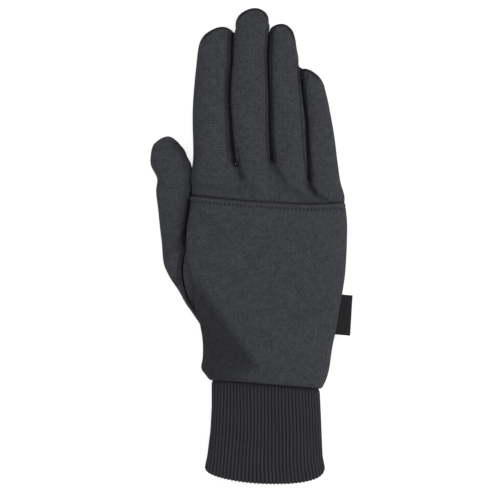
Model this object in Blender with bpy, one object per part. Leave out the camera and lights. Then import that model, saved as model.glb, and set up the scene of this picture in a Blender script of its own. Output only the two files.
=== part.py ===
"""A knitted glove liner for the right hand, lying palm down with its fingers along +Y.

The cloth is one skin of named points, shared along every seam. Each panel takes its own faces of that
skin, is drawn back from its seams by half the seam gap, gets its wall inwards and is one closed solid.
Metres, +Z up. The origin lies on the flat underside of the palm, where the glove rests.
"""

import math
from collections import namedtuple

import bmesh
import bpy
from mathutils import Vector

# Hand
HAND_LENGTH = 0.1235  # cuff seam to the knuckle line
HAND_WIDTH = 0.0900
HAND_THICKNESS = 0.0220
REST_SHARE = 0.560  # share of the hand's length from the cuff seam to the origin

# Fingers, measured from the knuckle line to the tip, and across the middle joint
INDEX_LENGTH = 0.0762
MIDDLE_LENGTH = 0.0868
RING_LENGTH = 0.0780
LITTLE_LENGTH = 0.0529
INDEX_WIDTH = 0.0212
MIDDLE_WIDTH = 0.0212
RING_WIDTH = 0.0200
LITTLE_WIDTH = 0.0160
FINGER_THICKNESS = 0.0135
FINGER_GAP = 0.0005  # free space between two neighbouring fingers

# Thumb
THUMB_LENGTH = 0.0515  # thumb crotch to tip, along Y
THUMB_WIDTH = 0.0235
THUMB_THICKNESS = 0.0128
THUMB_HOLE_DEPTH = 0.0135  # how far the palm is cut away under the thumb

# Cuff
CUFF_LENGTH = 0.0480  # seam to hem, along the sides
CUFF_BOW = 0.0080  # how much further the hem reaches at the middle
CUFF_WIDTH = 0.0605
CUFF_THICKNESS = 0.0200
CUFF_WALL = 0.0026
RIB_COUNT = 64
RIB_DEPTH = 0.0009
HEM_ROUND = 0.0007  # how far the folded hem is drawn in at its very edge

# Cloth
CLOTH_WALL = 0.0015
POCKET_WALL = 0.0013
LAYER_GAP = 0.0003  # between the pocket and the back under it
SEAM_GAP = 0.0003  # between two panels along a seam
FLOOR_SINK = 0.0010  # how far round undersides would dip below the floor that flattens them

# Label
LABEL_LENGTH = 0.0225
LABEL_REACH = 0.0050
LABEL_WALL = 0.0010
LABEL_PLACE = 0.315  # share of the hand's length, at the label's middle
LABEL_SPLAY = 0.0028  # how much further it reaches at its lower end
LABEL_DROP = 0.0015  # how much lower its free edge hangs

# Grid of the skin
FINGER_COLUMNS = 6
HAND_COLUMNS = 4 * FINGER_COLUMNS
TIP_ROWS = 3
FOURCHETTE_COLUMNS = 3
HAND_ROWS = (0.0, 0.025, 0.055, 0.11, 0.19, 0.27, 0.35, 0.43, 0.51, 0.60, 0.69, 0.77, 0.845, 0.92, 1.0)
LAST_ROW = len(HAND_ROWS) - 1
MOUTH_ROW = 12  # the hand's row along the pocket's mouth
THUMB_LOW_ROW = 4  # the hand's row at the thumb's foot, and the thumb crotch is six rows up
THUMB_TOP_ROW = THUMB_LOW_ROW + FINGER_COLUMNS
CUFF_ROWS = (0.0, 0.40, 0.80, 0.965, 1.0)
RING_STEPS = 480  # fine steps round a cuff ring, from which its ribs are spaced
ROW_SPREAD = 1.4  # above 1, a finger's rows crowd towards its root
LABEL_STATIONS = 4
MITRE_LIMIT = 0.6  # a wall's corner grows by no more than one over this
CORNER_LIMIT = 0.1  # and a seam gap's corner by no more than one over this
SHARP_ANGLE = math.radians(50)

# Roundness of the cross sections: 2 is an ellipse, and more is squarer
BACK_ROUND = 2.3
FINGER_ROUND = 2.2
FINGER_UNDER_ROUND = 2.2
HEM_LINE_ROUND = 2.3

# The hand's outline and height. along: share from the cuff seam to the knuckles. left, right: share
# of HAND_WIDTH from the middle line. crown, left_seam, right_seam: share of HAND_THICKNESS.
# left_under, right_under: roundness of the underside.
Section = namedtuple("Section", "along left right crown left_seam right_seam left_under right_under")
HAND_SECTIONS = (
    Section(0.03, 0.374, 0.342, 0.92, 0.42, 0.41, 2.7, 2.8),
    Section(0.06, 0.392, 0.356, 0.96, 0.43, 0.41, 2.6, 2.8),
    Section(0.11, 0.390, 0.370, 0.98, 0.45, 0.41, 2.5, 2.8),
    Section(0.19, 0.388, 0.382, 0.97, 0.50, 0.42, 2.3, 2.8),
    Section(0.27, 0.421, 0.410, 0.97, 0.56, 0.42, 2.1, 2.8),
    Section(0.35, 0.490, 0.426, 0.98, 0.59, 0.42, 2.0, 2.8),
    Section(0.43, 0.526, 0.445, 0.99, 0.60, 0.42, 2.0, 2.8),
    Section(0.51, 0.538, 0.463, 1.00, 0.61, 0.42, 2.0, 2.8),
    Section(0.60, 0.514, 0.474, 1.00, 0.62, 0.42, 2.0, 2.8),
    Section(0.69, 0.488, 0.479, 0.98, 0.61, 0.42, 2.0, 2.8),
    Section(0.77, 0.472, 0.478, 0.94, 0.58, 0.41, 2.0, 2.8),
    Section(0.845, 0.458, 0.465, 0.89, 0.54, 0.40, 2.1, 2.7),
    Section(0.92, 0.471, 0.463, 0.83, 0.50, 0.38, 2.2, 2.6),
    Section(1.00, 0.470, 0.451, 0.76, 0.46, 0.36, 2.2, 2.5),
)
WRIST_BLEND = 0.04  # share of the hand over which its section grows out of the cuff's

# The cuff's outline and height, from seam to hem: shares of CUFF_WIDTH and CUFF_THICKNESS
CUFF_SECTIONS = (
    Section(0.00, 0.522, 0.474, 0.97, 0.45, 0.45, 2.8, 2.8),
    Section(0.30, 0.526, 0.476, 0.98, 0.45, 0.45, 2.8, 2.8),
    Section(0.55, 0.540, 0.484, 0.98, 0.45, 0.45, 2.8, 2.8),
    Section(0.80, 0.572, 0.510, 0.96, 0.45, 0.45, 2.8, 2.8),
    Section(1.00, 0.588, 0.535, 0.93, 0.45, 0.45, 2.8, 2.8),
)

# Where a row of the hand's grid crosses the lines that run up to the index's outer side, the three
# finger crotches and the little finger's outer side, as shares of HAND_LENGTH.
GridRow = namedtuple("GridRow", "along index_side index_middle middle_ring ring_little little_side")
CUFF_SEAM = GridRow(0.0, 0.020, 0.008, -0.001, -0.011, -0.020)
POCKET_MOUTH = GridRow(0.845, 0.855, 0.830, 0.820, 0.812, 0.822)
KNUCKLES = GridRow(1.0, 0.991, 0.982, 1.000, 0.906, 0.896)

# Widths of the fingers at levels above the knuckle line. along: share of MIDDLE_LENGTH. sway: where
# the middle and ring fingers meet, as a share of MIDDLE_WIDTH. index to little: share of that
# finger's own width. crown, seam: share of FINGER_THICKNESS.
FingerLevel = namedtuple("FingerLevel", "along sway index middle ring little crown seam")
FINGER_LEVELS = (
    FingerLevel(-0.140, 0.110, 1.170, 0.940, 1.047, 1.075, 1.18, 0.55),
    FingerLevel(0.000, 0.110, 1.164, 0.940, 0.983, 1.014, 1.13, 0.54),
    FingerLevel(0.083, 0.060, 1.120, 0.925, 1.020, 0.990, 1.08, 0.52),
    FingerLevel(0.147, 0.050, 1.080, 0.972, 1.012, 0.975, 1.05, 0.50),
    FingerLevel(0.211, 0.030, 1.045, 0.990, 1.030, 0.910, 1.03, 0.49),
    FingerLevel(0.339, 0.026, 1.040, 1.016, 1.020, 0.830, 1.01, 0.48),
    FingerLevel(0.467, 0.024, 0.965, 1.035, 0.940, 0.790, 1.00, 0.48),
    FingerLevel(0.531, 0.000, 0.960, 0.995, 0.930, 0.760, 0.98, 0.47),
    FingerLevel(0.659, -0.026, 0.937, 0.937, 0.868, 0.740, 0.96, 0.47),
    FingerLevel(0.786, 0.000, 0.910, 0.937, 0.840, 0.740, 0.94, 0.47),
    FingerLevel(0.882, 0.026, 0.910, 0.950, 0.840, 0.740, 0.92, 0.47),
)

# Each digit. thick: share of FINGER_THICKNESS. rows: rows below its round tip. cap: the round tip's
# length over half its width. lean: how far the tip leans to +X, over half its width. round_left,
# round_right: the tip's roundness on each side. seam_left, seam_right: degrees from the top to the
# back panel's seam.
Digit = namedtuple("Digit", "name length thick rows cap lean round_left round_right seam_left seam_right")
FINGERS = (
    Digit("index", INDEX_LENGTH, 1.00, 6, 1.35, 0.35, 1.8, 3.6, 90, 58),
    Digit("middle", MIDDLE_LENGTH, 1.00, 7, 1.22, 0.16, 1.9, 2.7, 66, 66),
    Digit("ring", RING_LENGTH, 0.97, 6, 1.70, 0.02, 2.9, 2.0, 55, 62),
    Digit("little", LITTLE_LENGTH, 0.88, 5, 1.95, -0.55, 2.9, 1.9, 52, 90),
)
FOURCHETTE_TAPER = 0.34  # share of the finger over which a fourchette runs out to its point
SIDE_SEAM = math.radians(90)
HOLE_ROUND = 0.7  # below 1, the thumb's hole is fuller than a sine

# The thumb from its root (along 0) to the start of its round tip (along 1), seen from above. reach:
# share of THUMB_LENGTH from the thumb crotch to the section's middle. offset, width: share of THUMB_WIDTH.
# turn: degrees from the section to the X axis. crown, seam: share of THUMB_THICKNESS.
ThumbSection = namedtuple("ThumbSection", "along reach offset width turn crown seam")
THUMB_SECTIONS = (
    ThumbSection(0.00, -0.291, -0.269, 1.18, 72, 1.05, 0.66),
    ThumbSection(0.16, -0.139, -0.312, 1.14, 59, 1.05, 0.60),
    ThumbSection(0.34, 0.042, -0.324, 1.115, 50, 1.04, 0.54),
    ThumbSection(0.53, 0.255, -0.350, 1.000, 35, 1.02, 0.51),
    ThumbSection(0.70, 0.432, -0.388, 0.947, 27, 1.00, 0.50),
    ThumbSection(0.84, 0.584, -0.436, 0.937, 18, 0.98, 0.50),
    ThumbSection(1.00, 0.745, -0.495, 0.900, 8, 0.97, 0.50),
)
THUMB = Digit("thumb", THUMB_LENGTH, 1.0, 9, 1.24, 0.0, 2.2, 1.5, 90, 90)

# Broad dents of the back. across: share of HAND_WIDTH from the middle line. along: share of
# HAND_LENGTH. turn: degrees. reach, breadth: share of HAND_WIDTH. depth: share of HAND_THICKNESS.
Dent = namedtuple("Dent", "across along turn reach breadth depth")
DENTS = (
    Dent(-0.286, 0.200, -51, 0.260, 0.095, 0.140),
    Dent(0.311, 0.320, 35, 0.150, 0.055, 0.055),
    Dent(0.322, 0.865, -45, 0.085, 0.045, 0.085),
    Dent(-0.162, 0.930, -65, 0.090, 0.045, 0.060),
    Dent(0.112, 0.905, -50, 0.110, 0.045, 0.050),
)
KNUCKLE_FADE = 0.24  # share of the hand over which the finger arches die out below the knuckles
POCKET_FIRST_COLUMN = {5: 1, 6: 2, 7: 3, 8: 2, 9: 1}  # rows where its seam stands in from the thumb's root

CHARCOAL = (0.047, 0.049, 0.053, 1.0)
CUFF_BLACK = (0.026, 0.026, 0.030, 1.0)
LABEL_BLACK = (0.010, 0.011, 0.011, 1.0)
CLOTH_ROUGHNESS = 0.92
LABEL_ROUGHNESS = 0.60


def clear_scene():
    for old in list(bpy.data.objects):
        bpy.data.objects.remove(old, do_unlink=True)


def material(name, colour, roughness):
    made = bpy.data.materials.new(name)
    made.use_nodes = True
    shader = made.node_tree.nodes["Principled BSDF"]
    shader.inputs["Base Color"].default_value = colour
    shader.inputs["Roughness"].default_value = roughness
    shader.inputs["Metallic"].default_value = 0.0
    return made


def mix(a, b, share):
    return a + (b - a) * share


def ease(share):
    share = min(1.0, max(0.0, share))
    return share * share * (3 - 2 * share)


def smooth_through(places, values, at):
    """A smooth curve through the points, flat past both ends."""
    if at <= places[0]:
        return values[0]
    if at >= places[-1]:
        return values[-1]
    k = max(i for i, place in enumerate(places[:-1]) if place <= at)

    def slope(i):
        low, high = max(i - 1, 0), min(i + 1, len(places) - 1)
        return (values[high] - values[low]) / (places[high] - places[low])

    span = places[k + 1] - places[k]
    t = (at - places[k]) / span
    return (
        values[k] * (1 + 2 * t) * (1 - t) ** 2
        + slope(k) * span * t * (1 - t) ** 2
        + values[k + 1] * t * t * (3 - 2 * t)
        + slope(k + 1) * span * t * t * (t - 1)
    )


def column_at(table, column, along):
    places = [row.along for row in table]
    values = [getattr(row, column) for row in table]
    return smooth_through(places, values, along)


def power(value, exponent):
    return math.copysign(abs(value) ** exponent, value)


def across_of(angle, roundness):
    """Sideways place, from -1 to 1, on a rounded section at this angle from its top."""
    return power(math.sin(angle), 2 / roundness)


def height_of(angle, roundness):
    """Height, from 1 at the top to -1 at the bottom, on a rounded section at this angle."""
    return power(math.cos(angle), 2 / roundness)


def height_over(reach, roundness):
    """Height, from 1 to 0, on a rounded section at this distance from its middle."""
    return (1 - min(1.0, reach) ** roundness) ** (1 / roundness)


def lifted(seam, crown, height):
    """Height above the floor: up to the crown over the seam, and flattened by the floor under it."""
    if height >= 0:
        return mix(seam, crown, height)
    return max(0.0, seam + (seam + FLOOR_SINK) * height)


# Sections of the hand and the cuff, which are one where they meet


def cuff_size(column, share):
    unit = {"left": CUFF_WIDTH, "right": CUFF_WIDTH}.get(column, CUFF_THICKNESS)
    return column_at(CUFF_SECTIONS, column, share) * unit


def hand_size(column, share):
    unit = {"left": HAND_WIDTH, "right": HAND_WIDTH}.get(column, HAND_THICKNESS)
    hand = column_at(HAND_SECTIONS, column, share) * unit
    return mix(cuff_size(column, 0.0), hand, ease(share / WRIST_BLEND))


def under_round(table, share, across):
    left = column_at(table, "left_under", share)
    right = column_at(table, "right_under", share)
    return mix(left, right, ease(across))


def hand_y(along):
    return (along - REST_SHARE) * HAND_LENGTH


# Finger lines: five lines that run up beside the fingers, from the index's outer side to the little
# finger's. They start from the line between the middle and ring fingers, so that a wider finger
# pushes its neighbours aside.


def finger_lines(y):
    level = (y - hand_y(KNUCKLES.along)) / MIDDLE_LENGTH

    def width(name, size):
        return column_at(FINGER_LEVELS, name, level) * size

    between = width("sway", MIDDLE_WIDTH)
    left = between - width("middle", MIDDLE_WIDTH)
    right = between + width("ring", RING_WIDTH)
    return (
        left - width("index", INDEX_WIDTH),
        left,
        between,
        right,
        right + width("little", LITTLE_WIDTH),
    )


def finger_height(column, finger, y):
    level = (y - hand_y(KNUCKLES.along)) / MIDDLE_LENGTH
    return column_at(FINGER_LEVELS, column, level) * FINGER_THICKNESS * finger.thick


def crotch(line):
    """X and y where one of the five lines meets the knuckle row."""
    y = hand_y(KNUCKLES[1 + line])
    return finger_lines(y)[line], y


def line_places():
    """The five lines' places across the knuckle row, from 0 to 1."""
    xs = [crotch(line)[0] for line in range(5)]
    return [(x - xs[0]) / (xs[-1] - xs[0]) for x in xs]


LINE_PLACES = line_places()


def row_y(share, across):
    """Y of a row of the hand's grid where it crosses this place between the hand's two sides."""
    below_mouth = share < POCKET_MOUTH.along
    low, high = (CUFF_SEAM, POCKET_MOUTH) if below_mouth else (POCKET_MOUTH, KNUCKLES)
    t = (share - low.along) / (high.along - low.along)
    heights = [mix(a, b, t) for a, b in zip(low[1:], high[1:])]
    return hand_y(smooth_through(LINE_PLACES, heights, across))


# Angles of the grid's columns round a finger


def seam_angle(finger, j, share):
    """Angle from the top to the back panel's seam, beside the fourchette and where that runs out."""
    own = math.radians(finger.seam_left if 2 * j < FINGER_COLUMNS else finger.seam_right)
    run_out = ease((share - 1 + FOURCHETTE_TAPER) / FOURCHETTE_TAPER)
    return mix(own, SIDE_SEAM, run_out)


def column_angle(finger, j, share, side):
    """Signed angle from the top of a column of the back or the palm, at a share of the finger."""
    half = FINGER_COLUMNS / 2
    part = (j - half) / half
    angle = abs(part) * seam_angle(finger, j, share)
    if side == "palm":
        angle = math.pi - angle
    return math.copysign(angle, part)


def rounded(side):
    return FINGER_ROUND if side == "back" else FINGER_UNDER_ROUND


# Knuckle row: the hand's last row and the first of every finger


def knuckle_across(j, side):
    """Place across the knuckle row, from 0 to 1, of a column of the hand's grid."""
    f = min(j // FINGER_COLUMNS, 3)
    finger = FINGERS[f]
    spread = [
        across_of(column_angle(finger, column, 0.0, side), rounded(side))
        for column in (0, j - f * FINGER_COLUMNS, FINGER_COLUMNS)
    ]
    share = (spread[1] - spread[0]) / (spread[2] - spread[0])
    return mix(LINE_PLACES[f], LINE_PLACES[f + 1], share)


def arch_height(f, j, side):
    finger = FINGERS[f]
    y = row_y(1.0, knuckle_across(f * FINGER_COLUMNS + j, side))
    height = height_of(column_angle(finger, j, 0.0, side), rounded(side))
    return lifted(finger_height("seam", finger, y), finger_height("crown", finger, y), height)


def knuckle_height(j, side):
    """Height of the knuckle row: four finger arches, which share their feet at the crotches."""
    f = min(j // FINGER_COLUMNS, 3)
    own = arch_height(f, j - f * FINGER_COLUMNS, side)
    if j % FINGER_COLUMNS == 0 and 0 < j < HAND_COLUMNS:
        return (own + arch_height(f - 1, FINGER_COLUMNS, side)) / 2
    return own


# Hand


def wrist_across(j):
    angle = math.pi * (j / HAND_COLUMNS - 0.5)
    return (1 + across_of(angle, BACK_ROUND)) / 2


def hand_side(share, side):
    """X of the hand's left or right outline, drawn to the outer fingers towards the knuckles."""
    sign, line = (-1, 0) if side == "left" else (1, 4)
    wanted = crotch(line)[0] - sign * hand_size(side, 1.0)
    return sign * hand_size(side, share) + wanted * ease(2 * share - 1)


def thumb_hole(i):
    """How far the palm's left edge is drawn in at this row, where the thumb is let in."""
    share = (i - THUMB_LOW_ROW) / (THUMB_TOP_ROW - THUMB_LOW_ROW)
    return THUMB_HOLE_DEPTH * math.sin(math.pi * share) ** HOLE_ROUND if 0 < share < 1 else 0.0


def dent_at(x, y):
    depth = 0.0
    for dent in DENTS:
        dx = x - dent.across * HAND_WIDTH
        dy = y - hand_y(dent.along)
        turn = math.radians(dent.turn)
        along = (dx * math.cos(turn) + dy * math.sin(turn)) / (dent.reach * HAND_WIDTH)
        beside = (dy * math.cos(turn) - dx * math.sin(turn)) / (dent.breadth * HAND_WIDTH)
        depth += dent.depth * HAND_THICKNESS * math.exp(-along * along - beside * beside)
    return depth


def wide_height(share, across, side):
    """Height of the hand's own wide section, with no finger arches in it."""
    crown = hand_size("crown", share)
    seam = mix(hand_size("left_seam", share), hand_size("right_seam", share), across)
    reach = abs(2 * across - 1)
    if side == "back":
        return lifted(seam, crown, height_over(reach, BACK_ROUND))
    return lifted(seam, crown, -height_over(reach, under_round(HAND_SECTIONS, share, across)))


def hand_point(i, j, side):
    share = HAND_ROWS[i]
    left, right = hand_side(share, "left"), hand_side(share, "right")
    column = mix(wrist_across(j), knuckle_across(j, side), ease(share))
    x = mix(left + (thumb_hole(i) if side == "palm" else 0.0), right, column)
    across = (x - left) / (right - left)
    y = row_y(share, across)
    to_knuckles = ease((share - 1 + KNUCKLE_FADE) / KNUCKLE_FADE)
    z = mix(wide_height(share, across, side), knuckle_height(j, side), to_knuckles)
    if side == "back":
        z -= dent_at(x, y) * (1 - (2 * across - 1) ** 4) * (1 - to_knuckles)
    return Vector((x, y, z))


# Digits


def tip_place(digit, u, v):
    """Place on a round tip over its half width, and its distance from the middle towards the edge.

    A square grid, u across and v along, is laid on a half disc, so the tip has no pole.
    """
    x, y = u * math.sqrt(1 - v * v / 2), v * math.sqrt(1 - u * u / 2)
    reach = math.hypot(x, y)
    roundness = digit.round_right if x > 0 else digit.round_left
    swell = 1.0
    if reach > 0:
        swell = ((abs(x) / reach) ** roundness + (y / reach) ** roundness) ** (-1 / roundness)
    x, y = x * swell, y * swell
    return x + digit.lean * y * y * (1 - x * x), y * digit.cap, reach


def tip_point(digit, k, j, side, middle, half, turn, seam, crown):
    """A point of a digit's round tip, which starts at this middle with this half width."""
    u = across_of(column_angle(digit, j, 1.0, side), rounded(side))
    v = math.sin(math.pi / 2 * (k - digit.rows) / TIP_ROWS)
    x, y, reach = tip_place(digit, u, v)
    height = height_over(reach, rounded(side)) * (1 if side == "back" else -1)
    dx = half * (x * math.cos(turn) - y * math.sin(turn))
    dy = half * (x * math.sin(turn) + y * math.cos(turn))
    return Vector((middle.x + dx, middle.y + dy, lifted(seam, crown, height)))


def finger_edges(f, y):
    lines = finger_lines(y)
    left = lines[f] + (FINGER_GAP / 2 if f > 0 else 0.0)
    right = lines[f + 1] - (FINGER_GAP / 2 if f < 3 else 0.0)
    return left, right


def cap_y(f):
    """Y where the finger's round tip starts, so that the tip ends at the finger's length."""
    tip = hand_y(KNUCKLES.along) + FINGERS[f].length
    y = tip
    for _ in range(4):
        left, right = finger_edges(f, y)
        y = tip - FINGERS[f].cap * (right - left) / 2
    return y


def finger_point(f, k, j, side):
    finger = FINGERS[f]
    start = cap_y(f)
    if k > finger.rows:
        left, right = finger_edges(f, start)
        seam, crown = finger_height("seam", finger, start), finger_height("crown", finger, start)
        middle = Vector(((left + right) / 2, start, 0))
        return tip_point(finger, k, j, side, middle, (right - left) / 2, 0.0, seam, crown)
    share = (k / finger.rows) ** ROW_SPREAD
    root = row_y(1.0, knuckle_across(f * FINGER_COLUMNS + j, side))
    y = mix(root, start, share)
    return side_point(f, y, column_angle(finger, j, share, side))


def side_point(f, y, angle):
    """A point of a finger's section at this y and this signed angle from its top."""
    finger = FINGERS[f]
    left, right = finger_edges(f, y)
    roundness = rounded("back" if abs(angle) <= math.pi / 2 else "palm")
    x = (left + right) / 2 + (right - left) / 2 * across_of(angle, roundness)
    seam, crown = finger_height("seam", finger, y), finger_height("crown", finger, y)
    return Vector((x, y, lifted(seam, crown, height_of(angle, roundness))))


def thumb_point(k, j, side):
    along = (min(k, THUMB.rows) - 1) / (THUMB.rows - 1)
    section = ThumbSection(*[column_at(THUMB_SECTIONS, name, along) for name in ThumbSection._fields])
    root = hand_point(THUMB_TOP_ROW, 0, "back")
    middle = root + Vector((section.offset * THUMB_WIDTH, section.reach * THUMB_LENGTH, 0))
    half = section.width * THUMB_WIDTH / 2
    turn = math.radians(section.turn)
    seam, crown = section.seam * THUMB_THICKNESS, section.crown * THUMB_THICKNESS
    if k > THUMB.rows:
        return tip_point(THUMB, k, j, side, middle, half, turn, seam, crown)
    angle = column_angle(THUMB, j, 1.0, side)
    x = half * across_of(angle, rounded(side))
    z = lifted(seam, crown, height_of(angle, rounded(side)))
    return Vector((middle.x + x * math.cos(turn), middle.y + x * math.sin(turn), z))


# Names of the skin's points. Where two panels meet in a seam, both use the same name.


def hand_key(i, j, side):
    shared = j == HAND_COLUMNS or (j == 0 and not THUMB_LOW_ROW < i < THUMB_TOP_ROW)
    return ("hand", i, j, "seam" if shared else side)


def finger_key(f, k, j, side):
    if k == 0:
        return hand_key(LAST_ROW, f * FINGER_COLUMNS + j, side)
    finger = FINGERS[f]
    outer = (f, j) in ((0, 0), (3, FINGER_COLUMNS))
    at_side = j in (0, FINGER_COLUMNS) and (outer or k >= finger.rows)
    shared = at_side or k == finger.rows + TIP_ROWS
    return (finger.name, k, j, "seam" if shared else side)


def fourchette_key(f, k, m, edge):
    """Point m from the back to the palm, beside column edge of finger f. The web is at k = 0."""
    if m == 0:
        return finger_key(f, k, edge, "back")
    if m == FOURCHETTE_COLUMNS or k == FINGERS[f].rows:
        return finger_key(f, k, edge, "palm")
    if k == 0:
        return ("web", f if edge else f - 1, m)
    return ("fourchette", f, k, m, edge)


def thumb_key(k, j, side):
    if k == 0:
        return hand_key(THUMB_LOW_ROW + j, 0, side)
    shared = j in (0, FINGER_COLUMNS) or k == THUMB.rows + TIP_ROWS
    return ("thumb", k, j, "seam" if shared else side)


# The skin: points by name, and each panel's faces, anticlockwise seen from outside


def patch(points, faces, rows, columns, key, place, turned):
    for k in range(rows + 1):
        for j in range(columns + 1):
            points.setdefault(key(k, j), place(k, j))
    for k in range(rows):
        for j in range(columns):
            corners = [key(k, j), key(k, j + 1), key(k + 1, j + 1), key(k + 1, j)]
            corners = [c for n, c in enumerate(corners) if c not in corners[:n]]
            faces.append(corners[::-1] if turned else corners)


def hand_and_fingers(points, side):
    faces, turned = [], side == "palm"
    patch(
        points, faces, LAST_ROW, HAND_COLUMNS,
        lambda i, j: hand_key(i, j, side), lambda i, j: hand_point(i, j, side), turned,
    )
    for f, finger in enumerate(FINGERS):
        patch(
            points, faces, finger.rows + TIP_ROWS, FINGER_COLUMNS,
            lambda k, j: finger_key(f, k, j, side), lambda k, j: finger_point(f, k, j, side), turned,
        )
    return faces


def thumb_faces(points):
    faces = []
    for side in ("back", "palm"):
        patch(
            points, faces, THUMB.rows + TIP_ROWS, FINGER_COLUMNS,
            lambda k, j: thumb_key(k, j, side), lambda k, j: thumb_point(max(k, 1), j, side),
            side == "palm",
        )
    return faces


def fourchette_faces(points, f):
    """The strip down the right side of finger f, round the crotch and up the left side of the next."""
    faces = []
    for finger_at, edge in ((f, FINGER_COLUMNS), (f + 1, 0)):

        def key(m, k):
            return fourchette_key(finger_at, k, m, edge)

        def place(m, k):
            top = points[fourchette_key(finger_at, k, 0, edge)]
            bottom = points[fourchette_key(finger_at, k, FOURCHETTE_COLUMNS, edge)]
            share = m / FOURCHETTE_COLUMNS
            if k == 0:
                return top.lerp(bottom, share)
            finger = FINGERS[finger_at]
            at = (k / finger.rows) ** ROW_SPREAD
            start = column_angle(finger, edge, at, "back")
            end = column_angle(finger, edge, at, "palm")
            return side_point(finger_at, mix(top.y, bottom.y, share), mix(start, end, share))

        rows = FINGERS[finger_at].rows
        patch(points, faces, FOURCHETTE_COLUMNS, rows, key, place, edge > 0)
    return faces


def face_normal(points, face):
    corners = [points[key] for key in face]
    total = Vector()
    for a, b in zip(corners, corners[1:] + corners[:1]):
        total += a.cross(b)
    return total


def skin_normals(points, panels):
    """Outward direction at each point, longer where the skin bends, so that walls keep their thickness."""
    normals = {key: Vector() for key in points}
    around = {key: [] for key in points}
    for faces in panels.values():
        for face in faces:
            normal = face_normal(points, face)
            for key in face:
                normals[key] += normal
                around[key].append(normal.normalized())
    for key, normal in normals.items():
        normal.normalize()
        facing = sum(normal.dot(other) for other in around[key]) / max(1, len(around[key]))
        normal /= max(MITRE_LIMIT, facing)
    return normals


def drawn_back(points, faces):
    """How far each edge point of a panel moves to stand half the seam gap back from its seam."""
    edges = {(a, b) for face in faces for a, b in zip(face, face[1:] + face[:1])}
    inward = {}
    for face in faces:
        normal = face_normal(points, face).normalized()
        for a, b in zip(face, face[1:] + face[:1]):
            if (b, a) not in edges:
                direction = normal.cross(points[b] - points[a]).normalized()
                inward.setdefault(a, []).append(direction)
                inward.setdefault(b, []).append(direction)
    return {
        key: sum(found, Vector()) / max(CORNER_LIMIT, 1 + found[0].dot(found[-1])) * SEAM_GAP / 2
        for key, found in inward.items()
    }


def finish(name, bm, look):
    bmesh.ops.triangulate(bm, faces=bm.faces[:], quad_method="BEAUTY")
    mesh = bpy.data.meshes.new(name)
    bm.to_mesh(mesh)
    bm.free()
    mesh.shade_smooth()
    mesh.set_sharp_from_angle(angle=SHARP_ANGLE)
    mesh.materials.append(look)
    made = bpy.data.objects.new(name, mesh)
    bpy.context.collection.objects.link(made)
    return made


def walled(name, faces, outer, inner, look):
    """A closed solid from a panel's faces and the outer and inner place of each of their points."""
    bm = bmesh.new()
    keys = list(dict.fromkeys(key for face in faces for key in face))
    outside = {key: bm.verts.new(outer[key]) for key in keys}
    inside = {key: bm.verts.new(inner[key]) for key in keys}
    edges = {(a, b) for face in faces for a, b in zip(face, face[1:] + face[:1])}
    for face in faces:
        bm.faces.new([outside[key] for key in face])
        bm.faces.new([inside[key] for key in reversed(face)])
    for a, b in sorted(edges, key=str):
        if (b, a) not in edges:
            first = min(a, b, key=str)
            far_inner, near_outer = (inside[b], outside[a]) if first == a else (inside[a], outside[b])
            bm.faces.new((outside[b], outside[a], far_inner))
            bm.faces.new((near_outer, inside[a], inside[b]))
    return finish(name, bm, look)


def panel(name, points, faces, normals, look):
    shift = drawn_back(points, faces)
    outer = {key: points[key] + shift.get(key, Vector()) for face in faces for key in face}
    inner = {key: place - normals[key] * CLOTH_WALL for key, place in outer.items()}
    return walled(name, faces, outer, inner, look)


# Heat pocket


def heat_pocket(points, normals, look):
    """A layer over the back, from the cuff seam to the mouth, with the back's own grid under it."""
    faces = []
    for i in range(MOUTH_ROW):
        for j in range(HAND_COLUMNS):
            steps = ((i, j), (i, j + 1), (i + 1, j + 1), (i + 1, j))
            corners = list(dict.fromkeys(pocket_key(*step) for step in steps))
            if len(corners) > 2:
                faces.append(corners)
    shift = drawn_back(points, faces)
    seat = {key: points[key] + shift.get(key, Vector()) for face in faces for key in face}
    inner = {key: place + normals[key] * LAYER_GAP for key, place in seat.items()}
    outer = {key: place + normals[key] * (LAYER_GAP + POCKET_WALL) for key, place in seat.items()}
    return walled("heat_pocket", faces, outer, inner, look)


def pocket_key(i, j):
    return hand_key(i, max(j, POCKET_FIRST_COLUMN.get(i, 0)), "back")


# Cuff


def cuff_ring(share):
    """Fine points round the cuff at a share of its length, from its left side over the top."""
    left, right = -cuff_size("left", share), cuff_size("right", share)
    crown = cuff_size("crown", share)
    ring = []
    for n in range(RING_STEPS):
        angle = 2 * math.pi * n / RING_STEPS - math.pi / 2
        over = abs(angle) <= math.pi / 2
        beneath = under_round(CUFF_SECTIONS, share, (1 + math.sin(angle)) / 2)
        reach_round = BACK_ROUND if over else beneath
        across = (1 + across_of(angle, reach_round)) / 2
        seam = mix(cuff_size("left_seam", share), cuff_size("right_seam", share), across)
        top = row_y(0.0, across) - SEAM_GAP / 2
        bow = CUFF_BOW * height_over(abs(2 * across - 1), HEM_LINE_ROUND)
        hem = row_y(0.0, 0.5) - CUFF_LENGTH - bow
        z = lifted(seam, crown, height_of(angle, reach_round))
        ring.append(Vector((mix(left, right, across), mix(top, hem, share), z)))
    return ring


def spaced(ring, count):
    """Evenly spaced places round a closed ring, each with its outward direction across Y."""
    steps = [(b - a).length for a, b in zip(ring, ring[1:] + ring[:1])]
    total, found, walked, n = sum(steps), [], 0.0, 0
    for spot in range(count):
        wanted = total * spot / count
        while walked + steps[n] < wanted:
            walked += steps[n]
            n += 1
        a, b = ring[n], ring[(n + 1) % len(ring)]
        tangent = b - a
        outward = Vector((-tangent.z, 0, tangent.x)).normalized()
        found.append((a.lerp(b, (wanted - walked) / steps[n]), outward))
    return found


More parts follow.
